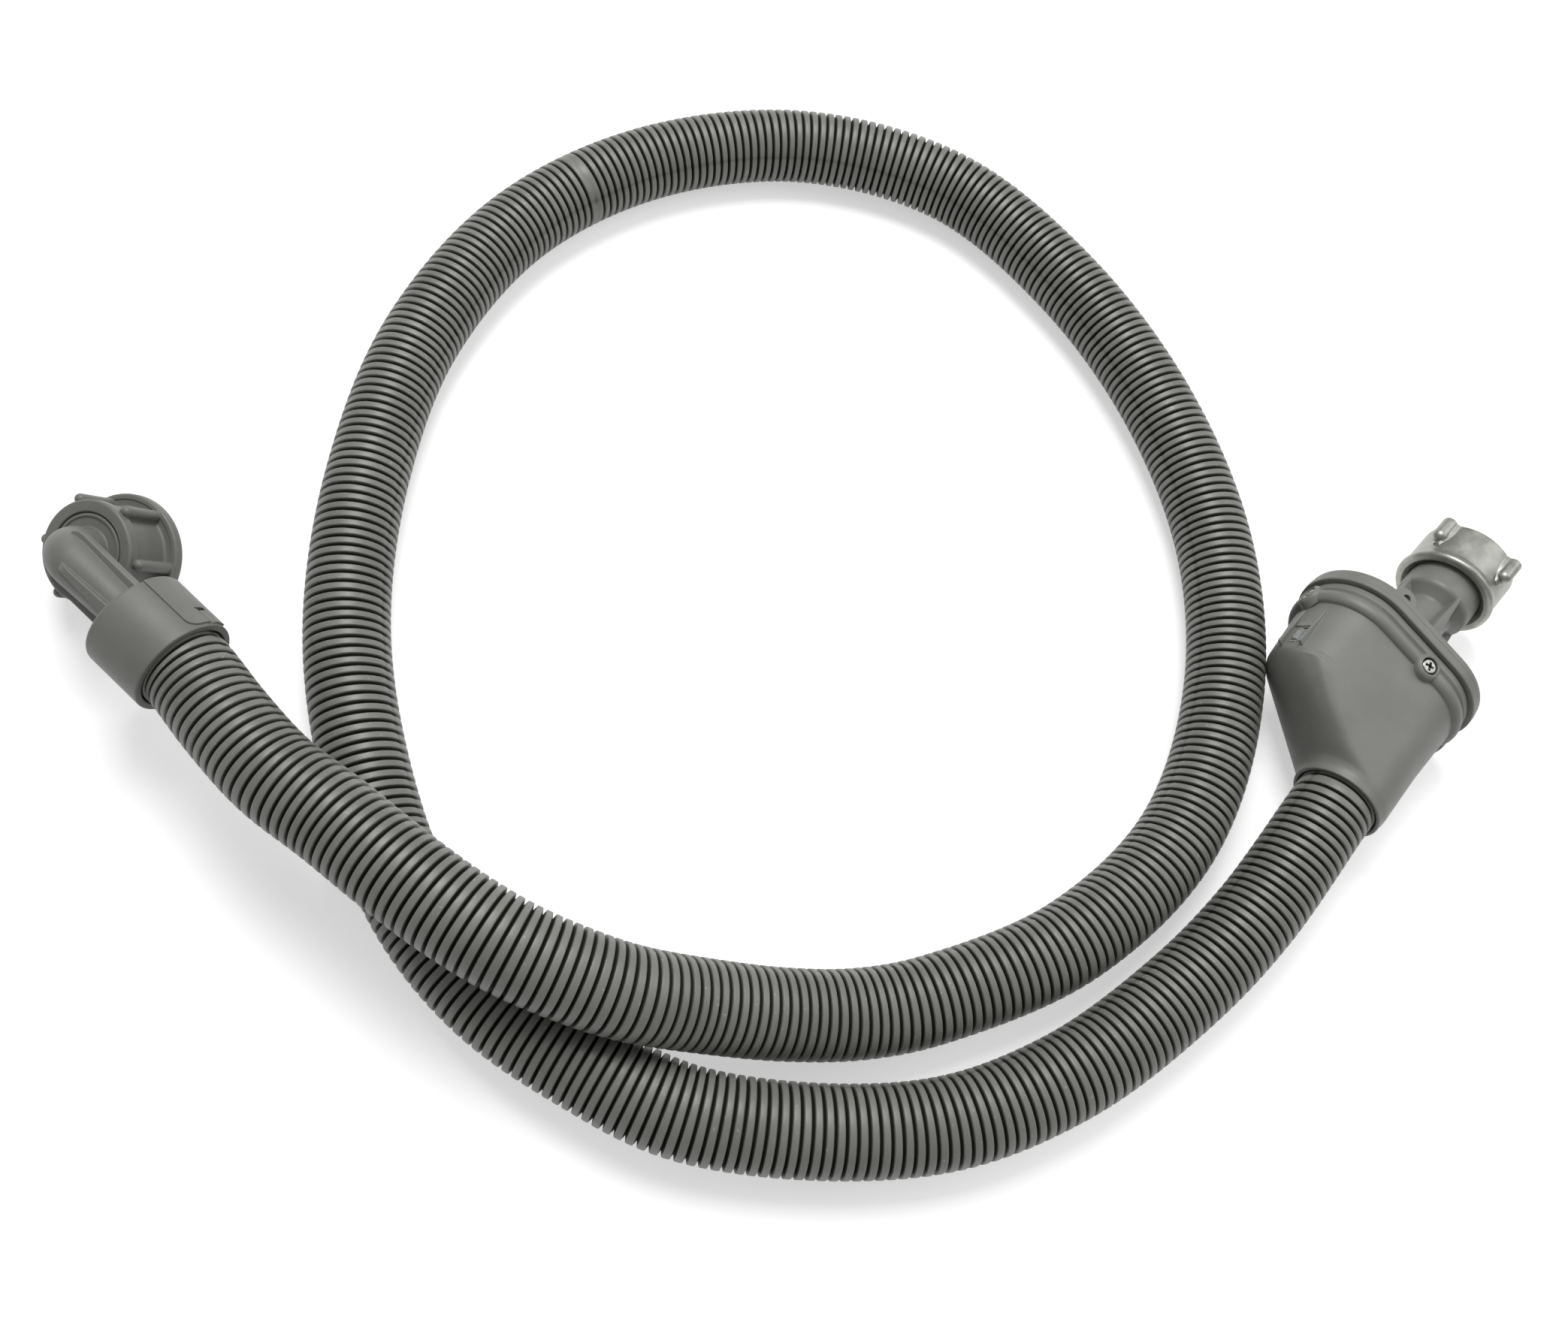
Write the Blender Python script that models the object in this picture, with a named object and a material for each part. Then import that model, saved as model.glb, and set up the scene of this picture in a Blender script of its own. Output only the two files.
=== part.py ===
"""Safety inlet hose: a corrugated outer tube with a bent union at one end and a stop valve at the other.

Metres, +Z up. The valve end and the bent end are each built in their own frame and placed by an empty.
"""

import math

import bmesh
import bpy
import numpy as np
from mathutils import Matrix, Vector

MM = 0.001
FIT = 0.3 * MM  # clearance between two pieces that touch
STEPS = 28  # sides of a turned piece

# Outer tube, and the inner tube that shows only in the end fittings
HOSE_OD = 26.0 * MM
HOSE_STEP = 30.0 * MM  # distance between the points of the solid's centreline
INNER_TUBE_OD = 12.4 * MM
INNER_TUBE_BORE = 9.4 * MM
FERRULE_LENGTH = 4.0 * MM
FERRULE_WALL = 0.9 * MM
BARB_BORE = 5.6 * MM

# Thread that both union nuts share
THREAD_MINOR_RADIUS = 12.1 * MM
THREAD_MAJOR_RADIUS = 13.2 * MM
WASHER_THICKNESS = 2.6 * MM
WASHER_HOLE_RADIUS = 6.8 * MM

# Plastic union nut: z runs from its open face to the elbow
PLASTIC_NUT_HEIGHT = 19.0 * MM
PLASTIC_NUT_BODY_RADIUS = 14.8 * MM
PLASTIC_NUT_RIM_RADIUS = 15.5 * MM
PLASTIC_NUT_RIM_DEPTH = 3.8 * MM
PLASTIC_NUT_FLANGE_RADIUS = 19.1 * MM
PLASTIC_NUT_FLANGE_THICKNESS = 3.4 * MM
PLASTIC_NUT_LIP = 2.8 * MM
PLASTIC_NUT_RECESS_RADIUS = 11.8 * MM
PLASTIC_NUT_RECESS_DEPTH = 1.2 * MM
PLASTIC_LUG_COUNT = 6
PLASTIC_LUG_WIDTH = 3.0 * MM
PLASTIC_LUG_REACH = 18.2 * MM
PLASTIC_LUG_PHASE = 25.0  # degrees from the outlet's side

# Elbow and its collar: x runs along the outlet, from the nut's axis
ELBOW_NECK_RADIUS = 10.2 * MM
ELBOW_TUBE_RADIUS = 7.2 * MM
ELBOW_BORE_RADIUS = 5.6 * MM
ELBOW_RISE = 28.9 * MM  # open face of the nut to the outlet's axis
ELBOW_BEND_RADIUS = 7.4 * MM  # of the tube's centreline
ELBOW_RIB_WIDTH = 2.6 * MM
ELBOW_RIB_REACH = 8.4 * MM
COLLAR_START = 32.0 * MM
COLLAR_END = 53.6 * MM
COLLAR_RADIUS = 15.5 * MM
COLLAR_END_WALL = 2.5 * MM
COLLAR_POCKET_RADIUS = 12.5 * MM
COLLAR_HOSE_DEPTH = 9.0 * MM
COLLAR_PAD_ANGLE = 58.0  # degrees that the raised pad takes of the collar
COLLAR_PAD_HEIGHT = 0.5 * MM
COLLAR_PAD_LENGTH = 17.0 * MM
COLLAR_SLOT_LENGTH = 1.4 * MM
COLLAR_SLOT_INSET = 5.6 * MM  # from the pad's end to the slot
COLLAR_SLOT_WIDTH = 4.6 * MM
ELBOW_PLUG_THICKNESS = 2.0 * MM
ELBOW_BARB_LENGTH = 6.0 * MM

# Valve housing and cover: z runs along the valve's axis to the tap, 0 at the seam; x and y across the oval
SEAM_LEFT = 13.8 * MM  # the oval's two arc centres, each side of the valve's axis
SEAM_RIGHT = 11.3 * MM
SEAM_RADIUS = 20.3 * MM
BEAD_RELIEF = 0.6 * MM
BEAD_RADIUS = SEAM_RADIUS + BEAD_RELIEF
BEAD_TOP = 3.4 * MM
BEAD_BOTTOM = 8.6 * MM
BODY_RIGHT = 30.6 * MM
BODY_LEFT = 32.3 * MM
BODY_STEP = 1.3 * MM
BODY_TOP_RADIUS = SEAM_RADIUS - BODY_STEP
BODY_SHOULDER_LEFT = 30.2 * MM
BODY_SHOULDER_DEPTH = 29.0 * MM
BODY_SHOULDER_RADIUS = 16.9 * MM
HOUSING_WALL = 2.4 * MM
HOUSING_FLOOR_DEPTH = 43.5 * MM
HOUSING_FLOOR_THICKNESS = 3.5 * MM
SOCKET_OFFSET = 16.6 * MM
SOCKET_RADIUS = 14.7 * MM
SOCKET_HOSE_DEPTH = 6.0 * MM
SOCKET_RIM = 3.5 * MM
SOCKET_DEPTH = HOUSING_FLOOR_DEPTH + HOUSING_FLOOR_THICKNESS + SOCKET_HOSE_DEPTH
BODY_CONE_DEPTH = SOCKET_DEPTH - SOCKET_RIM
BODY_CONE_RADIUS = 15.0 * MM
HOUSING_PASSAGE_RADIUS = 8.6 * MM
COVER_RADIUS = 22.0 * MM
COVER_THICKNESS = 5.6 * MM
COVER_EDGE_ROUND = 0.8 * MM
COVER_SKIRT_DEPTH = 9.5 * MM
COVER_SKIRT_WALL = 3.2 * MM
COVER_PLATE = 3.4 * MM
GASKET_HEIGHT = 1.8 * MM
GASKET_WIDTH = 1.2 * MM
GASKET_DEPTH = 1.4 * MM  # seam to the gasket's upper face

# Screws of the cover, set across the valve's axis
SCREW_DEPTH = 6.0 * MM
SCREW_HEAD_RADIUS = 2.6 * MM
SCREW_HEAD_HEIGHT = 1.4 * MM
SCREW_SHANK_RADIUS = 1.4 * MM
SCREW_LENGTH = 6.0 * MM
SCREW_RECESS = 0.9 * MM
SCREW_BOSS_RADIUS = 4.2 * MM
SCREW_BOSS_HEIGHT = 1.3 * MM
SCREW_TOP_OFFSET = 4.6 * MM
SCREW_SIDE_OFFSET = 2.1 * MM

# Sight window between its two rails
WINDOW_ANGLE = 21.0  # degrees about the oval's left arc centre
WINDOW_TOP = 20.6 * MM
WINDOW_LENGTH = 6.2 * MM
WINDOW_WIDTH = 3.4 * MM
WINDOW_THICKNESS = 2.0 * MM
RAIL_OFFSET = 4.0 * MM  # middle of the window to the middle of each rail
RAIL_WIDTH = 0.9 * MM
RAIL_HEIGHT = 1.1 * MM
RAIL_TOP = 12.5 * MM
RAIL_LENGTH = 16.0 * MM

# Stem, neck and ear on the cover
STEM_RADIUS = 8.7 * MM
STEM_TOP = 28.5 * MM
STEM_BORE_RADIUS = 5.0 * MM
GUSSET_COUNT = 4
GUSSET_PHASE = 8.0
GUSSET_FOOT_REACH = 14.5 * MM
GUSSET_FOOT_WIDTH = 5.0 * MM
GUSSET_TIP_WIDTH = 0.9 * MM
NECK_RADIUS = 12.6 * MM
NECK_TOP = 46.4 * MM
NECK_NOSE_RADIUS = 11.7 * MM
NECK_CONE = 3.0 * MM
NECK_BORE_RADIUS = 7.4 * MM
NECK_BORE_DEPTH = 12.5 * MM
EAR_ALONG = 14.2 * MM
EAR_ACROSS = 17.6 * MM
EAR_RADIUS = 4.6 * MM
EAR_THICKNESS = 2.4 * MM
EAR_HOLE_RADIUS = 1.5 * MM
EAR_HOLE_RISE = 2.1 * MM  # over the cover's outer face

# Metal union nut
METAL_NUT_BOTTOM = 38.3 * MM
METAL_NUT_TOP = 56.2 * MM
METAL_NUT_RADIUS = 16.3 * MM
METAL_NUT_BULGE_RADIUS = 17.0 * MM
METAL_NUT_BULGE_LENGTH = 3.6 * MM
METAL_NUT_MOUTH_RADIUS = 14.2 * MM
METAL_NUT_MOUTH_DEPTH = 1.3 * MM
METAL_NUT_LIP = 2.0 * MM
METAL_NUT_LUG_COUNT = 4
METAL_NUT_LUG_PHASE = 25.0
METAL_NUT_LUG_RADIUS = 2.1 * MM
METAL_NUT_LUG_LENGTH = 10.5 * MM
METAL_NUT_LUG_REACH = 19.9 * MM
CLIP_THICKNESS = 1.4 * MM
CLIP_GROOVE_DEPTH = 0.9 * MM
CLIP_RADIUS = 13.5 * MM
CLIP_GAP_ANGLE = 50.0
CLIP_CAVITY_LENGTH = 2.8 * MM

# Strainer in the neck
STRAINER_FLANGE_RADIUS = 9.2 * MM
STRAINER_FLANGE = 0.9 * MM
STRAINER_WALL = 0.8 * MM
STRAINER_LENGTH = 9.0 * MM

# Stop valve inside the housing
BLOCK_RADIUS = 10.5 * MM
BLOCK_BOTTOM = 22.0 * MM
BLOCK_INLET_DEPTH = 9.0 * MM
SEAT_HOLE_RADIUS = 3.6 * MM
SEAT_THICKNESS = 2.5 * MM
CHAMBER_RADIUS = 7.5 * MM
GALLERY_DEPTH = 17.0 * MM
GALLERY_HALF_HEIGHT = 4.6 * MM
GALLERY_BORE_RADIUS = 2.6 * MM
BARB_END = 34.0 * MM
CAP_PLUG_LENGTH = 2.5 * MM
CAP_FLANGE_RADIUS = 9.8 * MM
CAP_FLANGE_THICKNESS = 1.2 * MM
PLUNGER_RADIUS = 6.2 * MM
PLUNGER_PLATE = 1.2 * MM
PLUNGER_STEM_RADIUS = 1.7 * MM
PLUNGER_NOSE_RADIUS = 1.2 * MM
PLUNGER_TRAVEL = 2.6 * MM
PLUNGER_SEAL_RADIUS = 5.4 * MM
PLUNGER_SEAL_THICKNESS = 1.2 * MM
HUB_TOP = 27.0 * MM
HUB_HEIGHT = 2.8 * MM
HUB_RADIUS = 3.8 * MM
ARM_WIDTH = 3.0 * MM
ARM_THICKNESS = 1.6 * MM
FLAG_WIDTH = 5.0 * MM
FLAG_HEIGHT = 3.2 * MM
FLAG_THICKNESS = 1.2 * MM
PAD_RADIUS = 7.4 * MM
PAD_THICKNESS = 5.0 * MM
CUP_WALL = 0.9 * MM
CUP_FLOOR = 1.2 * MM
CUP_POST_RADIUS = 3.0 * MM

# Where the two ends lie, and the hose's route between them
ELBOW_FACE = Vector((-216.1, 19.2, 9.96)) * MM  # centre of the plastic nut's open face
ELBOW_NUT_AXIS = Vector((-0.3725, -0.3952, 0.8397))
ELBOW_OUTLET = Vector((0.7503, -0.6608, 0.0219))
VALVE_SEAM = Vector((188.9, 5.1, 24.2)) * MM  # centre of the oval in the seam's plane
VALVE_HEADING = 46.5  # degrees, of the way to the tap
VALVE_ROLL = 11.0
ROUTE_MM = [
    (-172.5, -43.5, 37.2), (-157.5, -58.5, 38.4), (-140, -71, 39.4), (-120, -86, 40.4), (-105, -96, 40.2),
    (-90, -104, 38.9), (-73, -110, 35.8), (-58, -113.5, 31.8), (-36, -115, 24.0), (-12, -115.5, 17.6),
    (10, -114, 14.2), (32, -109, 13.05), (76, -90, 13.05), (114, -55, 13.05), (135.7, -4, 13.05),
    (139.7, 52, 13.05), (125, 110, 13.05), (95, 162, 13.05), (52, 202, 13.05), (-3, 214, 13.05),
    (-60, 199, 13.05), (-107, 163, 13.05), (-137, 110, 13.05), (-148.5, 54, 13.05), (-148.5, 0, 13.05),
    (-138.5, -44, 13.05), (-121.5, -83.5, 13.05), (-99, -110, 13.05), (-70, -129, 13.05), (-37, -143, 13.05),
    (27, -145, 13.05), (69, -131, 13.05), (108, -105, 13.6), (134, -81, 16.4),
]


def clear_scene():
    for obj in list(bpy.data.objects):
        bpy.data.objects.remove(obj, do_unlink=True)


def material(name, colour, roughness=0.5, metallic=0.0):
    made = bpy.data.materials.new(name)
    made.use_nodes = True
    shader = made.node_tree.nodes["Principled BSDF"]
    shader.inputs["Base Color"].default_value = (*colour, 1.0)
    shader.inputs["Roughness"].default_value = roughness
    shader.inputs["Metallic"].default_value = metallic
    made.diffuse_color = (*colour, 1.0)
    return made


def empty(name, matrix):
    made = bpy.data.objects.new(name, None)
    bpy.context.collection.objects.link(made)
    made.matrix_world = matrix
    return made


def add(name, bm, frame, finish=None):
    """A mesh object from the bmesh, in the frame's coordinates."""
    bmesh.ops.recalc_face_normals(bm, faces=bm.faces)
    mesh = bpy.data.meshes.new(name)
    bm.to_mesh(mesh)
    bm.free()
    made = bpy.data.objects.new(name, mesh)
    bpy.context.collection.objects.link(made)
    made.parent = frame
    if finish:
        mesh.materials.append(material(name + "_finish", *finish))
    return made


def ring_faces(bm, rings, closed):
    """Quads between neighbouring rings of vertices; a ring of one vertex is a point on the axis."""
    pairs = list(zip(rings, rings[1:] + rings[:1])) if closed else list(zip(rings, rings[1:]))
    for lower, upper in pairs:
        count = max(len(lower), len(upper))
        for i in range(count):
            j = (i + 1) % count
            corners = [lower[i % len(lower)], lower[j % len(lower)]]
            corners += [upper[j % len(upper)], upper[i % len(upper)]]
            corners = list(dict.fromkeys(corners))
            if len(corners) > 2:
                bm.faces.new(corners)


def turned(name, profile, frame, finish=None, steps=STEPS, at=(0.0, 0.0), turn=None):
    """A solid turned about the frame's z, from (radius, z) points that go once round its section."""
    bm = bmesh.new()
    rings = []
    for radius, z in profile:
        if radius < 1e-7:
            rings.append([bm.verts.new((0.0, 0.0, z))])
            continue
        angles = [2 * math.pi * (i + 0.5) / steps for i in range(steps)]
        rings.append([bm.verts.new((radius * math.cos(a), radius * math.sin(a), z)) for a in angles])
    on_axis = profile[0][0] < 1e-7 and profile[-1][0] < 1e-7
    ring_faces(bm, rings, not on_axis)
    move = Matrix.Translation((at[0], at[1], 0.0))
    bm.transform(move @ turn if turn else move)
    return add(name, bm, frame, finish)


def rod(name, radius, start, end, frame, steps=24, at=(0.0, 0.0), turn=None):
    profile = [(0.0, start), (radius, start), (radius, end), (0.0, end)]
    return turned(name, profile, frame, None, steps, at, turn)


def loft(name, outlines, frame, finish=None):
    """A solid through closed outlines of equal counts, capped at both ends."""
    bm = bmesh.new()
    rings = [[bm.verts.new(point) for point in outline] for outline in outlines]
    ring_faces(bm, rings, False)
    bm.faces.new(rings[0][::-1])
    bm.faces.new(rings[-1])
    return add(name, bm, frame, finish)


def block(name, low, high, frame, finish=None, turn=None):
    bm = bmesh.new()
    bmesh.ops.create_cube(bm, size=1.0)
    low, high = Vector(low), Vector(high)
    size = high - low
    move = Matrix.Translation((low + high) / 2) @ Matrix.Diagonal((*size, 1.0))
    bm.transform(turn @ move if turn else move)
    return add(name, bm, frame, finish)


def oval(left, right, radius, z, arc=14):
    """Racetrack outline round two arc centres on the x axis."""
    points = []
    for centre, start in ((left, -90.0), (right, 90.0)):
        for i in range(arc + 1):
            a = math.radians(start + 180.0 * i / arc)
            points.append((centre + radius * math.cos(a), radius * math.sin(a), z))
    return points


def sector(name, inner, outer, degrees, span, frame, turn, steps=10):
    """A piece of a ring, its middle on the x axis before the turn."""
    angles = [math.radians(degrees) * (i / steps - 0.5) for i in range(steps + 1)]
    outline = [(outer * math.cos(a), outer * math.sin(a)) for a in angles]
    outline += [(inner * math.cos(a), inner * math.sin(a)) for a in reversed(angles)]
    return loft(name, [[turn @ Vector((x, y, z)) for x, y in outline] for z in span], frame)


def bent_pipe(radius, bottom, end):
    """Outlines of a pipe that rises from the bottom along z, bends and ends along x."""
    spots = [((0.0, bottom), 0.0)]
    for i in range(9):
        a = math.radians(90.0) * i / 8
        x = ELBOW_BEND_RADIUS * (1 - math.cos(a))
        z = ELBOW_RISE - ELBOW_BEND_RADIUS * (1 - math.sin(a))
        spots.append(((x, z), a))
    spots.append(((end, ELBOW_RISE), math.radians(90.0)))
    outlines = []
    for (x, z), a in spots:
        turns = [2 * math.pi * (i + 0.5) / STEPS for i in range(STEPS)]
        outline = []
        for t in turns:
            across = radius * math.cos(t)
            outline.append((x + across * math.cos(a), radius * math.sin(t), z - across * math.sin(a)))
        outlines.append(outline)
    return outlines


def combine(target, operation, *others):
    for other in others:
        modifier = target.modifiers.new(operation.title() + " " + other.name, "BOOLEAN")
        modifier.operation = operation
        modifier.solver = "EXACT"
        modifier.object = other
        other.hide_render = True
        other.display_type = "WIRE"


def cut(target, *others):
    combine(target, "DIFFERENCE", *others)


def join(target, *others):
    combine(target, "UNION", *others)


def turn_z(degrees):
    return Matrix.Rotation(math.radians(degrees), 4, "Z")


def smooth_route(points, step):
    """Points every step along a smooth curve through the given ones."""
    knots = np.array(points, float)
    chord = np.r_[0.0, np.cumsum(np.linalg.norm(np.diff(knots, axis=0), axis=1) ** 0.5)]
    dense = []
    for i in range(1, len(knots) - 2):
        t0, t1, t2, t3 = chord[i - 1:i + 3]
        p0, p1, p2, p3 = knots[i - 1:i + 3]
        for t in np.linspace(t1, t2, 40, endpoint=False):
            a1 = p0 * (t1 - t) / (t1 - t0) + p1 * (t - t0) / (t1 - t0)
            a2 = p1 * (t2 - t) / (t2 - t1) + p2 * (t - t1) / (t2 - t1)
            a3 = p2 * (t3 - t) / (t3 - t2) + p3 * (t - t2) / (t3 - t2)
            b1 = a1 * (t2 - t) / (t2 - t0) + a2 * (t - t0) / (t2 - t0)
            b2 = a2 * (t3 - t) / (t3 - t1) + a3 * (t - t1) / (t3 - t1)
            dense.append(b1 * (t2 - t) / (t2 - t1) + b2 * (t - t1) / (t2 - t1))
    dense.append(knots[-2])
    dense = np.array(dense)
    along = np.r_[0.0, np.cumsum(np.linalg.norm(np.diff(dense, axis=0), axis=1))]
    count = int(round(along[-1] / step)) + 1
    wanted = np.linspace(0.0, along[-1], count)
    return np.column_stack([np.interp(wanted, along, dense[:, k]) for k in range(3)])


def tube_curve(name, points, radius, resolution, frame, finish):
    """A round solid along a polyline."""
    data = bpy.data.curves.new(name, "CURVE")
    data.dimensions = "3D"
    data.bevel_depth = radius
    data.bevel_resolution = resolution
    data.use_fill_caps = True
    spline = data.splines.new("POLY")
    spline.points.add(len(points) - 1)
    for spot, point in zip(spline.points, points):
        spot.co = (*point, 1.0)
    made = bpy.data.objects.new(name, data)
    bpy.context.collection.objects.link(made)
    made.parent = frame
    data.materials.append(material(name + "_finish", *finish))
    return made


GREY_PLASTIC = ((0.20, 0.205, 0.185), 0.55)
HOSE_GREY = ((0.19, 0.195, 0.175), 0.6)
BLACK_RUBBER = ((0.02, 0.02, 0.02), 0.7)
WHITE_PLASTIC = ((0.75, 0.75, 0.72), 0.45)
RED_PLASTIC = ((0.55, 0.03, 0.02), 0.45)
CLEAR_PLASTIC = ((0.55, 0.58, 0.58), 0.1)
CAST_METAL = ((0.52, 0.52, 0.48), 0.35, 1.0)
STEEL = ((0.6, 0.6, 0.6), 0.3, 1.0)
INNER_TUBE = ((0.08, 0.08, 0.09), 0.5)
PAD_FELT = ((0.72, 0.66, 0.5), 0.9)

clear_scene()

elbow_side = ELBOW_NUT_AXIS.cross(ELBOW_OUTLET).normalized()
elbow_out = elbow_side.cross(ELBOW_NUT_AXIS).normalized()
elbow_up = ELBOW_NUT_AXIS.normalized()
elbow_frame = empty(
    "elbow_frame",
    Matrix.Translation(ELBOW_FACE) @ Matrix((elbow_out, elbow_side, elbow_up)).transposed().to_4x4(),
)
# The outlet's own frame: z along the outlet, x back along the nut's axis, origin where the two axes meet
outlet_turn = Matrix.Translation((0.0, 0.0, ELBOW_RISE)) @ Matrix.Rotation(math.radians(90.0), 4, "Y")
outlet_frame = empty("outlet_frame", elbow_frame.matrix_world @ outlet_turn)

valve_to_tap = Vector((math.cos(math.radians(VALVE_HEADING)), math.sin(math.radians(VALVE_HEADING)), 0.0))
valve_left = Vector((-valve_to_tap.y, valve_to_tap.x, 0.0))
valve_roll = Matrix.Rotation(math.radians(VALVE_ROLL), 3, valve_to_tap)
valve_x = valve_roll @ valve_left
valve_y = valve_to_tap.cross(valve_x)
valve_frame = empty(
    "valve_frame",
    Matrix.Translation(VALVE_SEAM) @ Matrix((valve_x, valve_y, valve_to_tap)).transposed().to_4x4(),
)

# Appliance end: union nut
nut_lip_top = PLASTIC_NUT_HEIGHT - PLASTIC_NUT_RECESS_DEPTH
nut_lip_bottom = nut_lip_top - PLASTIC_NUT_LIP
nut_rim_bottom = PLASTIC_NUT_HEIGHT - PLASTIC_NUT_RIM_DEPTH
edge = 0.8 * MM
appliance_nut = turned("appliance_nut", [
    (THREAD_MAJOR_RADIUS, 0.0),
    (PLASTIC_NUT_FLANGE_RADIUS - edge, 0.0),
    (PLASTIC_NUT_FLANGE_RADIUS, edge),
    (PLASTIC_NUT_FLANGE_RADIUS, PLASTIC_NUT_FLANGE_THICKNESS - edge),
    (PLASTIC_NUT_FLANGE_RADIUS - edge, PLASTIC_NUT_FLANGE_THICKNESS),
    (PLASTIC_NUT_BODY_RADIUS + 2 * edge, PLASTIC_NUT_FLANGE_THICKNESS + edge),
    (PLASTIC_NUT_BODY_RADIUS, PLASTIC_NUT_FLANGE_THICKNESS + edge),
    (PLASTIC_NUT_BODY_RADIUS, nut_rim_bottom),
    (PLASTIC_NUT_RIM_RADIUS, nut_rim_bottom + edge / 2),
    (PLASTIC_NUT_RIM_RADIUS, PLASTIC_NUT_HEIGHT - edge),
    (PLASTIC_NUT_RIM_RADIUS - edge, PLASTIC_NUT_HEIGHT),
    (PLASTIC_NUT_RECESS_RADIUS, PLASTIC_NUT_HEIGHT),
    (PLASTIC_NUT_RECESS_RADIUS, nut_lip_top),
    (ELBOW_NECK_RADIUS + FIT, nut_lip_top),
    (ELBOW_NECK_RADIUS + FIT, nut_lip_bottom),
    (THREAD_MINOR_RADIUS, nut_lip_bottom),
    (THREAD_MINOR_RADIUS, THREAD_MAJOR_RADIUS - THREAD_MINOR_RADIUS),
], elbow_frame, GREY_PLASTIC)
for number in range(PLASTIC_LUG_COUNT):
    angle = PLASTIC_LUG_PHASE + 360.0 * number / PLASTIC_LUG_COUNT
    half = PLASTIC_LUG_WIDTH / 2
    inner = PLASTIC_NUT_BODY_RADIUS - 1.2 * MM
    tip = PLASTIC_NUT_HEIGHT - 1.5 * MM
    lug = block(
        f"lug_{number + 1}",
        (inner, -half, PLASTIC_NUT_FLANGE_THICKNESS / 2),
        (PLASTIC_LUG_REACH, half, tip),
        elbow_frame,
        turn=turn_z(angle),
    )
    join(appliance_nut, lug)

# Appliance end: elbow, from the retaining flange under the nut's lip to the barb of the inner tube
flange_top = nut_lip_bottom - FIT
flange_bottom = flange_top - 2.4 * MM
elbow_body = turned("elbow_body", [
    (0.0, flange_bottom),
    (THREAD_MINOR_RADIUS - FIT, flange_bottom),
    (THREAD_MINOR_RADIUS - FIT, flange_top),
    (ELBOW_NECK_RADIUS, flange_top),
    (ELBOW_NECK_RADIUS, nut_lip_top),
    (0.0, nut_lip_top),
], elbow_frame, GREY_PLASTIC)
plug_start = COLLAR_START + COLLAR_END_WALL + FIT
plug_end = plug_start + ELBOW_PLUG_THICKNESS
barb_radius = INNER_TUBE_BORE / 2 - FIT
barb_end = plug_end + ELBOW_BARB_LENGTH
pipe = loft("elbow_pipe", bent_pipe(ELBOW_TUBE_RADIUS, nut_lip_top - MM, plug_start + MM), elbow_frame)
arm = turned("elbow_arm", [
    (0.0, plug_start),
    (COLLAR_POCKET_RADIUS - FIT, plug_start),
    (COLLAR_POCKET_RADIUS - FIT, plug_end),
    (barb_radius, plug_end),
    (barb_radius, barb_end - MM),
    (barb_radius - 0.6 * MM, barb_end),
    (0.0, barb_end),
], outlet_frame)
join(elbow_body, pipe, arm)
for number, (angle, start) in enumerate(((90.0, 1.0 * MM), (180.0, 8.0 * MM), (270.0, 3.0 * MM))):
    rib = block(
        f"rib_{number + 1}",
        (ELBOW_TUBE_RADIUS * 0.5, -ELBOW_RIB_WIDTH / 2, start),
        (ELBOW_RIB_REACH, ELBOW_RIB_WIDTH / 2, COLLAR_START - FIT),
        outlet_frame,
        turn=turn_z(angle),
    )
    join(elbow_body, rib)
elbow_bore = loft("elbow_bore", bent_pipe(ELBOW_BORE_RADIUS, flange_bottom - MM, COLLAR_START), elbow_frame)
barb_bore = rod("barb_bore", BARB_BORE / 2, COLLAR_START - MM, barb_end + MM, outlet_frame)
cut(elbow_body, elbow_bore, barb_bore)

washer_bottom = flange_bottom - FIT - WASHER_THICKNESS
turned("appliance_seal_washer", [
    (WASHER_HOLE_RADIUS, washer_bottom),
    (THREAD_MINOR_RADIUS - FIT, washer_bottom),
    (THREAD_MINOR_RADIUS - FIT, washer_bottom + WASHER_THICKNESS),
    (WASHER_HOLE_RADIUS, washer_bottom + WASHER_THICKNESS),
], elbow_frame, BLACK_RUBBER)

# Appliance end: collar that holds the outer tube
hose_radius = HOSE_OD / 2
hose_stop = COLLAR_END - COLLAR_HOSE_DEPTH
hose_collar = turned("hose_collar", [
    (ELBOW_TUBE_RADIUS + FIT, COLLAR_START),
    (COLLAR_RADIUS - edge, COLLAR_START),
    (COLLAR_RADIUS, COLLAR_START + edge),
    (COLLAR_RADIUS, COLLAR_END - edge / 2),
    (COLLAR_RADIUS - edge / 2, COLLAR_END),
    (hose_radius + FIT, COLLAR_END),
    (hose_radius + FIT, hose_stop),
    (COLLAR_POCKET_RADIUS, hose_stop),
    (COLLAR_POCKET_RADIUS, COLLAR_START + COLLAR_END_WALL),
    (ELBOW_TUBE_RADIUS + FIT, COLLAR_START + COLLAR_END_WALL),
], outlet_frame, GREY_PLASTIC)
pad = sector(
    "collar_pad",
    COLLAR_RADIUS - MM,
    COLLAR_RADIUS + COLLAR_PAD_HEIGHT,
    COLLAR_PAD_ANGLE,
    (COLLAR_START + edge / 2, COLLAR_START + COLLAR_PAD_LENGTH),
    outlet_frame,
    turn_z(90.0),
)
join(hose_collar, pad)
slot_start = COLLAR_START + COLLAR_PAD_LENGTH - COLLAR_SLOT_INSET
slot = block(
    "collar_slot",
    (COLLAR_POCKET_RADIUS, -COLLAR_SLOT_WIDTH / 2, slot_start),
    (COLLAR_RADIUS + 2 * COLLAR_PAD_HEIGHT, COLLAR_SLOT_WIDTH / 2, slot_start + COLLAR_SLOT_LENGTH),
    outlet_frame,
    turn=turn_z(90.0),
)
cut(hose_collar, slot)

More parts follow.
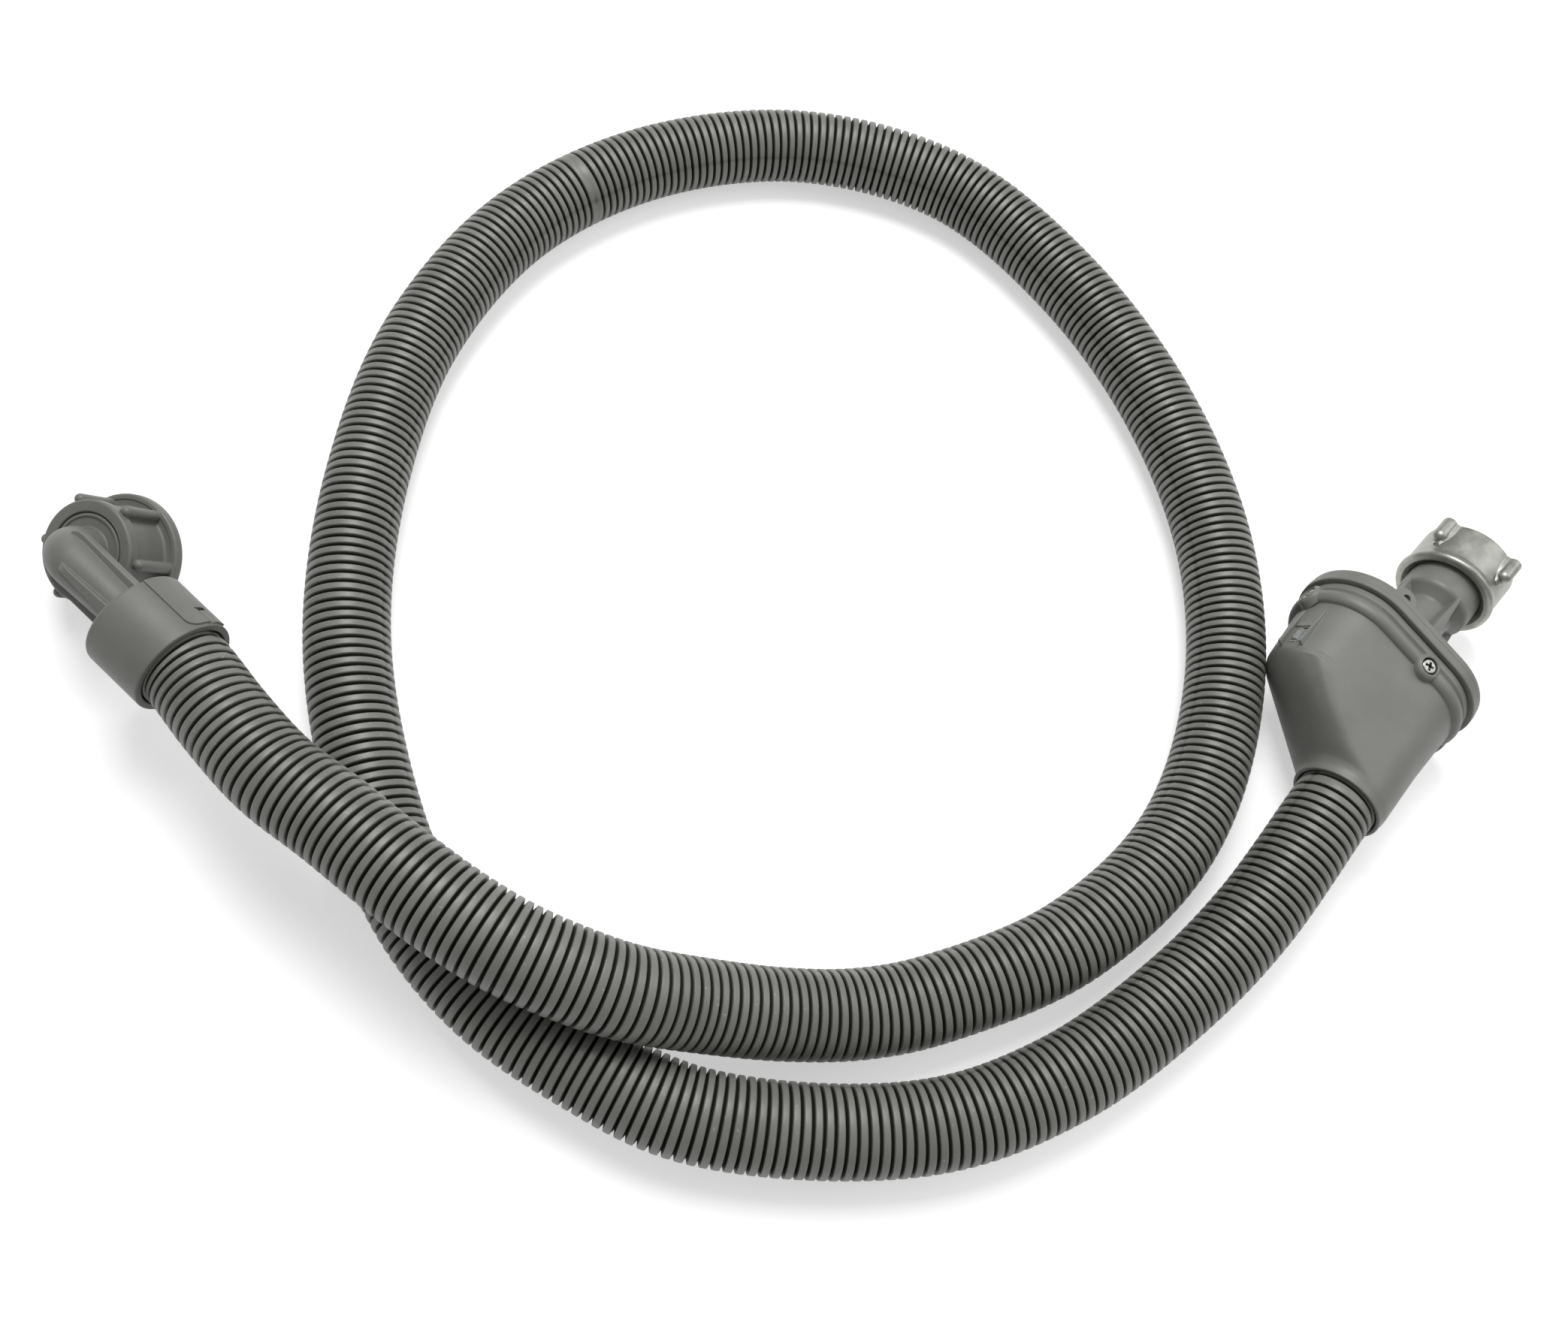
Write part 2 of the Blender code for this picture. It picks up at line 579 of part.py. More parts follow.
# Inner tube and ferrule at the appliance end
hose_end = hose_stop + FIT
tube_radius = INNER_TUBE_OD / 2
tube_start = plug_end + FIT
turned("inner_tube_appliance_end", [
    (INNER_TUBE_BORE / 2, tube_start),
    (tube_radius, tube_start),
    (tube_radius, hose_end - FIT),
    (INNER_TUBE_BORE / 2, hose_end - FIT),
], outlet_frame, INNER_TUBE)
ferrule_start = tube_start + MM
turned("ferrule_appliance_end", [
    (tube_radius + FIT, ferrule_start),
    (tube_radius + FIT + FERRULE_WALL, ferrule_start),
    (tube_radius + FIT + FERRULE_WALL, ferrule_start + FERRULE_LENGTH),
    (tube_radius + FIT, ferrule_start + FERRULE_LENGTH),
], outlet_frame, STEEL)

# Valve end: housing
left_centre = BODY_LEFT - BODY_TOP_RADIUS
right_centre = BODY_TOP_RADIUS - BODY_RIGHT
shoulder_left = BODY_SHOULDER_LEFT - BODY_SHOULDER_RADIUS
shoulder_right = BODY_SHOULDER_RADIUS - BODY_RIGHT
socket_centre = (-SOCKET_OFFSET, 0.0)
body_sections = [
    (SEAM_LEFT, -SEAM_RIGHT, SEAM_RADIUS, 0.0),
    (SEAM_LEFT, -SEAM_RIGHT, SEAM_RADIUS, -BEAD_TOP),
    (SEAM_LEFT, -SEAM_RIGHT, BEAD_RADIUS, -BEAD_TOP - 1.2 * MM),
    (SEAM_LEFT, -SEAM_RIGHT, BEAD_RADIUS, -BEAD_BOTTOM + 1.6 * MM),
    (left_centre, right_centre, BODY_TOP_RADIUS + 0.3 * MM, -BEAD_BOTTOM + 0.2 * MM),
    (left_centre, right_centre, BODY_TOP_RADIUS, -BEAD_BOTTOM),
    (shoulder_left, shoulder_right, BODY_SHOULDER_RADIUS, -BODY_SHOULDER_DEPTH),
    (-SOCKET_OFFSET + 0.1 * MM, -SOCKET_OFFSET - 0.1 * MM, BODY_CONE_RADIUS, -BODY_CONE_DEPTH),
]
body_outlines = [oval(*section) for section in body_sections]
valve_housing = loft("valve_housing", body_outlines, valve_frame, GREY_PLASTIC)
socket_top = -BODY_CONE_DEPTH + 2 * MM
socket = rod("socket", SOCKET_RADIUS, -SOCKET_DEPTH, socket_top, valve_frame, STEPS, socket_centre)
join(valve_housing, socket)
cavity_radius = SEAM_RADIUS - HOUSING_WALL
floor_share = (HOUSING_FLOOR_DEPTH - BODY_SHOULDER_DEPTH) / (BODY_CONE_DEPTH - BODY_SHOULDER_DEPTH)
floor_left = shoulder_left * (1 - floor_share) - SOCKET_OFFSET * floor_share
floor_right = shoulder_right * (1 - floor_share) - SOCKET_OFFSET * floor_share
floor_radius = BODY_SHOULDER_RADIUS * (1 - floor_share) + BODY_CONE_RADIUS * floor_share
cavity_sections = [
    (SEAM_LEFT, -SEAM_RIGHT, cavity_radius, MM),
    (SEAM_LEFT, -SEAM_RIGHT, cavity_radius, -COVER_SKIRT_DEPTH - 0.6 * MM),
    (left_centre, right_centre, BODY_TOP_RADIUS - HOUSING_WALL, -COVER_SKIRT_DEPTH - 1.4 * MM),
    (shoulder_left, shoulder_right, BODY_SHOULDER_RADIUS - HOUSING_WALL, -BODY_SHOULDER_DEPTH),
    (floor_left, floor_right, floor_radius - HOUSING_WALL, -HOUSING_FLOOR_DEPTH),
]
cavity = loft("cavity", [oval(*section) for section in cavity_sections], valve_frame)
# Cover screws: each has a boss on the bead, a pocket for its head and a hole
screw_seats = [
    ("cover_screw_1", 90.0, SEAM_RADIUS, -SCREW_TOP_OFFSET, 0.0),
    ("cover_screw_2", 0.0, SEAM_LEFT + SEAM_RADIUS, 0.0, SCREW_SIDE_OFFSET),
    ("cover_screw_3", -90.0, SEAM_RADIUS, -SCREW_TOP_OFFSET, 0.0),
    ("cover_screw_4", 180.0, SEAM_RIGHT + SEAM_RADIUS, 0.0, -SCREW_SIDE_OFFSET),
]
z_to_x = Matrix.Rotation(math.radians(90.0), 4, "Y")
seats = []
for name, angle, reach, along, across in screw_seats:
    screw_turn = Matrix.Translation((along, across, -SCREW_DEPTH)) @ turn_z(angle) @ z_to_x
    face = reach + SCREW_BOSS_HEIGHT
    seats.append((name, screw_turn, face, face - SCREW_RECESS - SCREW_HEAD_HEIGHT))
    boss = rod(name + "_boss", SCREW_BOSS_RADIUS, reach - 2 * MM, face, valve_frame, turn=screw_turn)
    join(valve_housing, boss)
cut(valve_housing, cavity)
hose_socket_stop = -SOCKET_DEPTH + SOCKET_HOSE_DEPTH
mouth = -SOCKET_DEPTH - MM
hose_bore = rod("hose_bore", hose_radius + FIT, mouth, hose_socket_stop, valve_frame, STEPS, socket_centre)
passage_span = (hose_socket_stop - MM, -HOUSING_FLOOR_DEPTH + MM)
passage = rod("passage", HOUSING_PASSAGE_RADIUS, *passage_span, valve_frame, 24, socket_centre)
cut(valve_housing, hose_bore, passage)
for name, screw_turn, face, head_seat in seats:
    pocket_span = (head_seat, face + MM)
    pocket = rod(name + "_pocket", SCREW_HEAD_RADIUS + FIT, *pocket_span, valve_frame, 20, turn=screw_turn)
    hole_span = (head_seat - SCREW_LENGTH - MM, head_seat + MM)
    hole = rod(name + "_hole", SCREW_SHANK_RADIUS + FIT, *hole_span, valve_frame, 16, turn=screw_turn)
    cut(valve_housing, pocket, hole)
    turned(name, [
        (0.0, head_seat - SCREW_LENGTH + FIT),
        (SCREW_SHANK_RADIUS, head_seat - SCREW_LENGTH + FIT),
        (SCREW_SHANK_RADIUS, head_seat + FIT),
        (SCREW_HEAD_RADIUS, head_seat + FIT),
        (SCREW_HEAD_RADIUS, head_seat + SCREW_HEAD_HEIGHT * 0.8),
        (SCREW_HEAD_RADIUS * 0.7, head_seat + SCREW_HEAD_HEIGHT),
        (0.0, head_seat + SCREW_HEAD_HEIGHT),
    ], valve_frame, STEEL, 20, turn=screw_turn)

# Valve end: sight window and its rails, on the housing's rounded left end
window_mid = WINDOW_TOP + WINDOW_LENGTH / 2
taper = (BODY_TOP_RADIUS - BODY_SHOULDER_RADIUS) / (BODY_SHOULDER_DEPTH - BEAD_BOTTOM)
wall_face = BODY_TOP_RADIUS - taper * (window_mid - BEAD_BOTTOM)
window_turn = Matrix.Translation((left_centre, 0.0, 0.0)) @ turn_z(WINDOW_ANGLE)
for side in (-1, 1):
    across = side * RAIL_OFFSET
    rail = block(
        f"rail_{side + 2}",
        (wall_face - 2 * MM, across - RAIL_WIDTH / 2, -RAIL_TOP - RAIL_LENGTH),
        (wall_face + RAIL_HEIGHT, across + RAIL_WIDTH / 2, -RAIL_TOP),
        valve_frame,
        turn=window_turn,
    )
    join(valve_housing, rail)
window_hole = block(
    "window_hole",
    (wall_face - HOUSING_WALL - 2 * MM, -WINDOW_WIDTH / 2 - FIT, -WINDOW_TOP - WINDOW_LENGTH - FIT),
    (wall_face + 2 * MM, WINDOW_WIDTH / 2 + FIT, -WINDOW_TOP + FIT),
    valve_frame,
    turn=window_turn,
)
cut(valve_housing, window_hole)
block(
    "sight_window",
    (wall_face - WINDOW_THICKNESS, -WINDOW_WIDTH / 2, -WINDOW_TOP - WINDOW_LENGTH),
    (wall_face, WINDOW_WIDTH / 2, -WINDOW_TOP),
    valve_frame,
    CLEAR_PLASTIC,
    window_turn,
)

# Valve end: cover with its stem, neck, gussets and ear
skirt_radius = cavity_radius - FIT
groove_radius = skirt_radius - GASKET_WIDTH - FIT
gasket_low = -GASKET_DEPTH - GASKET_HEIGHT
cover_top = FIT + COVER_THICKNESS
cover_sections = [
    (SEAM_LEFT, -SEAM_RIGHT, skirt_radius, -COVER_SKIRT_DEPTH),
    (SEAM_LEFT, -SEAM_RIGHT, skirt_radius, gasket_low - FIT),
    (SEAM_LEFT, -SEAM_RIGHT, groove_radius, gasket_low - FIT),
    (SEAM_LEFT, -SEAM_RIGHT, groove_radius, -GASKET_DEPTH + FIT),
    (SEAM_LEFT, -SEAM_RIGHT, skirt_radius, -GASKET_DEPTH + FIT),
    (SEAM_LEFT, -SEAM_RIGHT, skirt_radius, FIT),
    (SEAM_LEFT, -SEAM_RIGHT, COVER_RADIUS, FIT),
    (SEAM_LEFT, -SEAM_RIGHT, COVER_RADIUS, cover_top - COVER_EDGE_ROUND),
    (SEAM_LEFT, -SEAM_RIGHT, COVER_RADIUS - COVER_EDGE_ROUND, cover_top),
]
valve_cover = loft("valve_cover", [oval(*section) for section in cover_sections], valve_frame, GREY_PLASTIC)
lip_bottom = METAL_NUT_BOTTOM + METAL_NUT_MOUTH_DEPTH
lip_top = lip_bottom + METAL_NUT_LIP
clip_low = lip_top + FIT
clip_high = clip_low + CLIP_THICKNESS
neck_groove = NECK_NOSE_RADIUS - CLIP_GROOVE_DEPTH
stem = turned("stem", [
    (0.0, cover_top - MM),
    (STEM_RADIUS, cover_top - MM),
    (STEM_RADIUS, STEM_TOP),
    (NECK_RADIUS - edge / 2, STEM_TOP + NECK_CONE),
    (NECK_RADIUS, STEM_TOP + NECK_CONE + edge),
    (NECK_RADIUS, lip_top),
    (NECK_NOSE_RADIUS, lip_top),
    (NECK_NOSE_RADIUS, lip_top + FIT / 3),
    (neck_groove, lip_top + FIT / 3),
    (neck_groove, clip_high + FIT),
    (NECK_NOSE_RADIUS, clip_high + FIT),
    (NECK_NOSE_RADIUS, NECK_TOP),
    (0.0, NECK_TOP),
], valve_frame)
join(valve_cover, stem)
for number in range(GUSSET_COUNT):
    angle = turn_z(GUSSET_PHASE + 360.0 * number / GUSSET_COUNT)
    foot, top = GUSSET_FOOT_WIDTH / 2, GUSSET_TIP_WIDTH / 2
    inner = STEM_RADIUS - 2 * MM
    low = cover_top - MM
    high = STEM_TOP + NECK_CONE
    outlines = []
    for outer, half, z in ((GUSSET_FOOT_REACH, foot, low), (NECK_RADIUS - 0.2 * MM, top, high)):
        corners = ((inner, -half, z), (outer, -half, z), (outer, half, z), (inner, half, z))
        outlines.append([angle @ Vector(corner) for corner in corners])
    gusset = loft(f"gusset_{number + 1}", outlines, valve_frame)
    join(valve_cover, gusset)
ear_spot = Matrix.Translation((EAR_ALONG, EAR_ACROSS, cover_top))
ear_turn = ear_spot @ Matrix.Rotation(math.radians(90.0), 4, "X")
ear = rod("ear", EAR_RADIUS, -EAR_THICKNESS / 2, EAR_THICKNESS / 2, valve_frame, turn=ear_turn)
join(valve_cover, ear)
hollow_radius = skirt_radius - COVER_SKIRT_WALL
hollow = loft("cover_hollow", [
    oval(SEAM_LEFT, -SEAM_RIGHT, hollow_radius, z)
    for z in (-COVER_SKIRT_DEPTH - MM, cover_top - COVER_PLATE)
], valve_frame)
ear_hole_turn = Matrix.Translation((0.0, 0.0, EAR_HOLE_RISE)) @ ear_turn
ear_hole = rod("ear_hole", EAR_HOLE_RADIUS, -EAR_THICKNESS, EAR_THICKNESS, valve_frame, 16, turn=ear_hole_turn)
stem_bore = rod("stem_bore", STEM_BORE_RADIUS, -MM, NECK_TOP, valve_frame)
over_neck = NECK_TOP + MM
neck_bore = rod("neck_bore", NECK_BORE_RADIUS, NECK_TOP - NECK_BORE_DEPTH, over_neck, valve_frame)
strainer_seat = NECK_TOP - STRAINER_FLANGE - FIT
neck_counterbore = rod("neck_counterbore", STRAINER_FLANGE_RADIUS + FIT, strainer_seat, over_neck, valve_frame)
cut(valve_cover, hollow, ear_hole, stem_bore, neck_bore, neck_counterbore)
for name, screw_turn, face, head_seat in seats:
    hole_span = (head_seat - SCREW_LENGTH - MM, head_seat + MM)
    thread = rod(name + "_thread", SCREW_SHANK_RADIUS + FIT, *hole_span, valve_frame, 16, turn=screw_turn)
    cut(valve_cover, thread)

gasket = loft("cover_gasket", [
    oval(SEAM_LEFT, -SEAM_RIGHT, skirt_radius, z) for z in (gasket_low, -GASKET_DEPTH)
], valve_frame, BLACK_RUBBER)
gasket_inside = loft("gasket_inside", [
    oval(SEAM_LEFT, -SEAM_RIGHT, skirt_radius - GASKET_WIDTH, z)
    for z in (gasket_low - MM, -GASKET_DEPTH + MM)
], valve_frame)
cut(gasket, gasket_inside)

# Tap end: metal union nut, its retaining clip, strainer and washer
cavity_top = lip_top + CLIP_CAVITY_LENGTH
tap_nut = turned("tap_nut", [
    (METAL_NUT_MOUTH_RADIUS, METAL_NUT_BOTTOM + 0.3 * MM),
    (METAL_NUT_BULGE_RADIUS - 1.3 * MM, METAL_NUT_BOTTOM),
    (METAL_NUT_BULGE_RADIUS - 0.3 * MM, METAL_NUT_BOTTOM + 0.5 * MM),
    (METAL_NUT_BULGE_RADIUS, METAL_NUT_BOTTOM + 1.3 * MM),
    (METAL_NUT_BULGE_RADIUS - 0.1 * MM, METAL_NUT_BOTTOM + 2.2 * MM),
    (METAL_NUT_RADIUS, METAL_NUT_BOTTOM + METAL_NUT_BULGE_LENGTH),
    (METAL_NUT_RADIUS, METAL_NUT_TOP - 0.4 * MM),
    (METAL_NUT_RADIUS - 0.4 * MM, METAL_NUT_TOP),
    (THREAD_MAJOR_RADIUS, METAL_NUT_TOP),
    (THREAD_MINOR_RADIUS, METAL_NUT_TOP - THREAD_MAJOR_RADIUS + THREAD_MINOR_RADIUS),
    (THREAD_MINOR_RADIUS, cavity_top),
    (CLIP_RADIUS + FIT, cavity_top),
    (CLIP_RADIUS + FIT, lip_top),
    (NECK_RADIUS + FIT, lip_top),
    (NECK_RADIUS + FIT, lip_bottom),
], valve_frame, CAST_METAL)
for number in range(METAL_NUT_LUG_COUNT):
    angle = METAL_NUT_LUG_PHASE + 360.0 * number / METAL_NUT_LUG_COUNT
    start = METAL_NUT_TOP - METAL_NUT_LUG_LENGTH
    centre = METAL_NUT_LUG_REACH - METAL_NUT_LUG_RADIUS
    round_end = METAL_NUT_LUG_RADIUS
    lug = turned(f"wing_{number + 1}", [
        (0.0, start),
        (round_end * 0.6, start + 0.3 * round_end),
        (round_end, start + round_end),
        (round_end, METAL_NUT_TOP - FIT),
        (0.0, METAL_NUT_TOP - FIT),
    ], valve_frame, None, 16, turn=turn_z(angle) @ Matrix.Translation((centre, 0.0, 0.0)))
    web = block(
        f"wing_web_{number + 1}",
        (METAL_NUT_RADIUS - MM, -round_end * 0.8, start + 1.2 * round_end),
        (centre, round_end * 0.8, METAL_NUT_TOP - 2 * FIT),
        valve_frame,
        turn=turn_z(angle),
    )
    join(tap_nut, lug, web)

clip = turned("nut_retaining_clip", [
    (neck_groove + FIT, clip_low),
    (CLIP_RADIUS, clip_low),
    (CLIP_RADIUS, clip_high),
    (neck_groove + FIT, clip_high),
], valve_frame, STEEL)
clip_gap = block(
    "clip_gap",
    (0.0, -CLIP_RADIUS * math.tan(math.radians(CLIP_GAP_ANGLE / 2)), clip_low - MM),
    (CLIP_RADIUS + MM, CLIP_RADIUS * math.tan(math.radians(CLIP_GAP_ANGLE / 2)), clip_high + MM),
    valve_frame,
)
cut(clip, clip_gap)

strainer_low = strainer_seat + FIT - STRAINER_LENGTH
strainer_radius = NECK_BORE_RADIUS - FIT
turned("inlet_strainer", [
    (0.0, strainer_low),
    (strainer_radius, strainer_low),
    (strainer_radius, strainer_seat + FIT),
    (STRAINER_FLANGE_RADIUS, strainer_seat + FIT),
    (STRAINER_FLANGE_RADIUS, strainer_seat + FIT + STRAINER_FLANGE),
    (strainer_radius - STRAINER_WALL, strainer_seat + FIT + STRAINER_FLANGE),
    (strainer_radius - STRAINER_WALL, strainer_low + STRAINER_WALL),
    (0.0, strainer_low + STRAINER_WALL),
], valve_frame, WHITE_PLASTIC, 24)
tap_washer_low = NECK_TOP + 2 * FIT
turned("tap_seal_washer", [
    (WASHER_HOLE_RADIUS, tap_washer_low),
    (THREAD_MINOR_RADIUS - FIT, tap_washer_low),
    (THREAD_MINOR_RADIUS - FIT, tap_washer_low + WASHER_THICKNESS),
    (WASHER_HOLE_RADIUS, tap_washer_low + WASHER_THICKNESS),
], valve_frame, BLACK_RUBBER)

# Stop valve: block with inlet, seat, chamber, gallery and barb
block_top = cover_top - COVER_PLATE - FIT
valve_block = turned("valve_block", [
    (0.0, -BLOCK_BOTTOM),
    (BLOCK_RADIUS, -BLOCK_BOTTOM),
    (BLOCK_RADIUS, block_top),
    (0.0, block_top),
], valve_frame, WHITE_PLASTIC)
gallery_low = -GALLERY_DEPTH - GALLERY_HALF_HEIGHT
gallery = block(
    "gallery_block",
    (-SOCKET_OFFSET, -GALLERY_HALF_HEIGHT, gallery_low),
    (0.0, GALLERY_HALF_HEIGHT, -GALLERY_DEPTH + GALLERY_HALF_HEIGHT),
    valve_frame,
)
outlet = turned("valve_outlet", [
    (0.0, -BARB_END),
    (barb_radius - 0.6 * MM, -BARB_END),
    (barb_radius, -BARB_END + MM),
    (barb_radius, gallery_low),
    (GALLERY_HALF_HEIGHT + 0.4 * MM, gallery_low),
    (GALLERY_HALF_HEIGHT + 0.4 * MM, -GALLERY_DEPTH + GALLERY_HALF_HEIGHT + 0.4 * MM),
    (0.0, -GALLERY_DEPTH + GALLERY_HALF_HEIGHT + 0.4 * MM),
], valve_frame, None, 24, socket_centre)
join(valve_block, gallery, outlet)
seat_top = -BLOCK_INLET_DEPTH
seat_low = seat_top - SEAT_THICKNESS
inlet = rod("block_inlet", STEM_BORE_RADIUS, seat_top, block_top + MM, valve_frame)
seat = rod("seat_hole", SEAT_HOLE_RADIUS, seat_low - MM, seat_top + MM, valve_frame)
chamber = rod("chamber", CHAMBER_RADIUS, -BLOCK_BOTTOM - MM, seat_low, valve_frame)
gallery_turn = Matrix.Translation((0.0, 0.0, -GALLERY_DEPTH)) @ z_to_x.inverted()
gallery_span = (CHAMBER_RADIUS - MM, SOCKET_OFFSET)
gallery_bore = rod("gallery_bore", GALLERY_BORE_RADIUS, *gallery_span, valve_frame, 16, turn=gallery_turn)
outlet_span = (-BARB_END - MM, -GALLERY_DEPTH + MM)
outlet_bore = rod("outlet_bore", BARB_BORE / 2, *outlet_span, valve_frame, 20, socket_centre)
cut(valve_block, inlet, seat, chamber, gallery_bore, outlet_bore)

cap_face = -BLOCK_BOTTOM - FIT
turned("chamber_cap", [
    (PLUNGER_STEM_RADIUS + FIT, cap_face - CAP_FLANGE_THICKNESS),
    (CAP_FLANGE_RADIUS, cap_face - CAP_FLANGE_THICKNESS),
    (CAP_FLANGE_RADIUS, cap_face),
    (CHAMBER_RADIUS - FIT, cap_face),
    (CHAMBER_RADIUS - FIT, cap_face + CAP_PLUG_LENGTH),
    (PLUNGER_STEM_RADIUS + FIT, cap_face + CAP_PLUG_LENGTH),
], valve_frame, WHITE_PLASTIC, 24)

# Stop valve: plunger with its seal, and the arm that carries the flag
seal_top = seat_low - FIT - PLUNGER_TRAVEL
seal_low = seal_top - PLUNGER_SEAL_THICKNESS
plate_top = seal_low - FIT
plate_low = plate_top - PLUNGER_PLATE
hub_low = -HUB_TOP - HUB_HEIGHT
stem_low = hub_low + 1.2 * MM + FIT
turned("closing_plunger", [
    (0.0, stem_low),
    (PLUNGER_STEM_RADIUS, stem_low),
    (PLUNGER_STEM_RADIUS, plate_low),
    (PLUNGER_RADIUS, plate_low),
    (PLUNGER_RADIUS, plate_top),
    (PLUNGER_NOSE_RADIUS, plate_top),
    (PLUNGER_NOSE_RADIUS, seal_top),
    (0.0, seal_top),
], valve_frame, WHITE_PLASTIC, 24)
turned("plunger_seal", [
    (PLUNGER_NOSE_RADIUS + FIT, seal_low),
    (PLUNGER_SEAL_RADIUS, seal_low),
    (PLUNGER_SEAL_RADIUS, seal_top),
    (PLUNGER_NOSE_RADIUS + FIT, seal_top),
], valve_frame, BLACK_RUBBER, 24)
indicator_arm = turned("indicator_arm", [
    (0.0, hub_low),
    (HUB_RADIUS, hub_low),
    (HUB_RADIUS, -HUB_TOP),
    (PLUNGER_STEM_RADIUS + FIT, -HUB_TOP),
    (PLUNGER_STEM_RADIUS + FIT, stem_low - FIT),
    (0.0, stem_low - FIT),
], valve_frame, RED_PLASTIC, 24)
arm_low = -HUB_TOP - ARM_THICKNESS
below_shoulder = max(0.0, FIT - arm_low - BODY_SHOULDER_DEPTH) / (HOUSING_FLOOR_DEPTH - BODY_SHOULDER_DEPTH)
flag_centre = min(left_centre, shoulder_left + (floor_left - shoulder_left) * below_shoulder)
flag_wall = BODY_SHOULDER_RADIUS + (floor_radius - BODY_SHOULDER_RADIUS) * below_shoulder
flag_face = flag_wall - HOUSING_WALL - 2 * FIT
window_angle = math.radians(WINDOW_ANGLE)
flag_turn = Matrix.Translation((flag_centre, 0.0, 0.0)) @ turn_z(WINDOW_ANGLE)
flag_spot = (flag_centre + flag_face * math.cos(window_angle), flag_face * math.sin(window_angle))
arm_angle = math.degrees(math.atan2(flag_spot[1], flag_spot[0]))
arm_bar = block(
    "arm_bar",
    (HUB_RADIUS - MM, -ARM_WIDTH / 2, arm_low),
    (math.hypot(*flag_spot) - FLAG_THICKNESS / 2, ARM_WIDTH / 2, -HUB_TOP),
    valve_frame,
    turn=turn_z(arm_angle),
)
flag = block(
    "flag",
    (flag_face - FLAG_THICKNESS, -FLAG_WIDTH / 2, arm_low - FIT),
    (flag_face, FLAG_WIDTH / 2, arm_low + FLAG_HEIGHT),
    valve_frame,
    turn=flag_turn,
)
join(indicator_arm, arm_bar, flag)

# Stop valve: swelling pad in its cup, on a post of the housing
pad_top = hub_low - FIT
pad_low = pad_top - PAD_THICKNESS
turned("swelling_pad", [
    (0.0, pad_low),
    (PAD_RADIUS, pad_low),
    (PAD_RADIUS, pad_top),
    (0.0, pad_top),
], valve_frame, PAD_FELT, 24)
cup_low = pad_low - FIT - CUP_FLOOR
turned("pad_cup", [
    (0.0, cup_low),
    (PAD_RADIUS + FIT + CUP_WALL, cup_low),
    (PAD_RADIUS + FIT + CUP_WALL, pad_top - MM),
    (PAD_RADIUS + FIT, pad_top - MM),
    (PAD_RADIUS + FIT, pad_low - FIT),
    (0.0, pad_low - FIT),
], valve_frame, WHITE_PLASTIC, 24)
post = rod("cup_post", CUP_POST_RADIUS, -HOUSING_FLOOR_DEPTH - MM, cup_low - FIT, valve_frame, 20)
join(valve_housing, post)

# Inner tube and ferrule at the valve end
valve_hose_end = hose_socket_stop
tube_top = gallery_low - FIT
turned("inner_tube_valve_end", [
    (INNER_TUBE_BORE / 2, valve_hose_end),
    (tube_radius, valve_hose_end),
    (tube_radius, tube_top),
    (INNER_TUBE_BORE / 2, tube_top),
], valve_frame, INNER_TUBE, STEPS, socket_centre)
valve_ferrule_top = tube_top - 4 * MM
turned("ferrule_valve_end", [
    (tube_radius + FIT, valve_ferrule_top - FERRULE_LENGTH),
    (tube_radius + FIT + FERRULE_WALL, valve_ferrule_top - FERRULE_LENGTH),
    (tube_radius + FIT + FERRULE_WALL, valve_ferrule_top),
    (tube_radius + FIT, valve_ferrule_top),
], valve_frame, STEEL, STEPS, socket_centre)

# Outer tube: straight in its two sockets, along the route between them
outlet_world = outlet_frame.matrix_world
valve_world = valve_frame.matrix_world
elbow_stub = outlet_world @ Vector((0.0, 0.0, hose_end))
elbow_mouth = outlet_world @ Vector((0.0, 0.0, COLLAR_END + 2 * MM))
socket_mouth = valve_world @ Vector((-SOCKET_OFFSET, 0.0, -SOCKET_DEPTH - 2 * MM))
socket_stub = valve_world @ Vector((-SOCKET_OFFSET, 0.0, hose_socket_stop - FIT))
knots = [elbow_stub, elbow_mouth] + [Vector(point) * MM for point in ROUTE_MM] + [socket_mouth, socket_stub]
centreline = [elbow_stub, *smooth_route(knots, HOSE_STEP), socket_stub]
tube_curve("outer_hose", centreline, hose_radius, 4, None, HOSE_GREY)
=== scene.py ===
import math

import bmesh
import bpy
import numpy as np
from mathutils import Matrix, Vector


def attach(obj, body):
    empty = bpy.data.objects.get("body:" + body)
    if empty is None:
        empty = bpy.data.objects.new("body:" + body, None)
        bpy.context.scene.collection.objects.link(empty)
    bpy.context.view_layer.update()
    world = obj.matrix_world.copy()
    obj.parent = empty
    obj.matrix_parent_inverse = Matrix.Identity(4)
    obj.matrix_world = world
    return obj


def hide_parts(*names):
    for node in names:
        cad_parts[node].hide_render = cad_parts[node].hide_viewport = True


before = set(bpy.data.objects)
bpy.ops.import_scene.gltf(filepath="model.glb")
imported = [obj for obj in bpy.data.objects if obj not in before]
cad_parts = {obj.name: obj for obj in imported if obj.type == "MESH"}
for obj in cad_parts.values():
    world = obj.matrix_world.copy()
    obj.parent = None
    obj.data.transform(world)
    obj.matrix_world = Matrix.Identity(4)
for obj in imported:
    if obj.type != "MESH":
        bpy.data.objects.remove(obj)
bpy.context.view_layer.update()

# Safety inlet hose: ribbed grey outer tube, moulded elbow end, moulded stop valve with a die-cast union nut.
# Sizes are in metres through MM. The frames and fits are those of the solids.
MM = 0.001
FIT = 0.3 * MM

# Photograph's camera
CAMERA_SPOT = Vector((-75.0, -188.0, 415.2)) * MM
CAMERA_TURN = [math.radians(angle) for angle in (24.331, -8.787, 0.0)]
CAMERA_LENS = 32.12

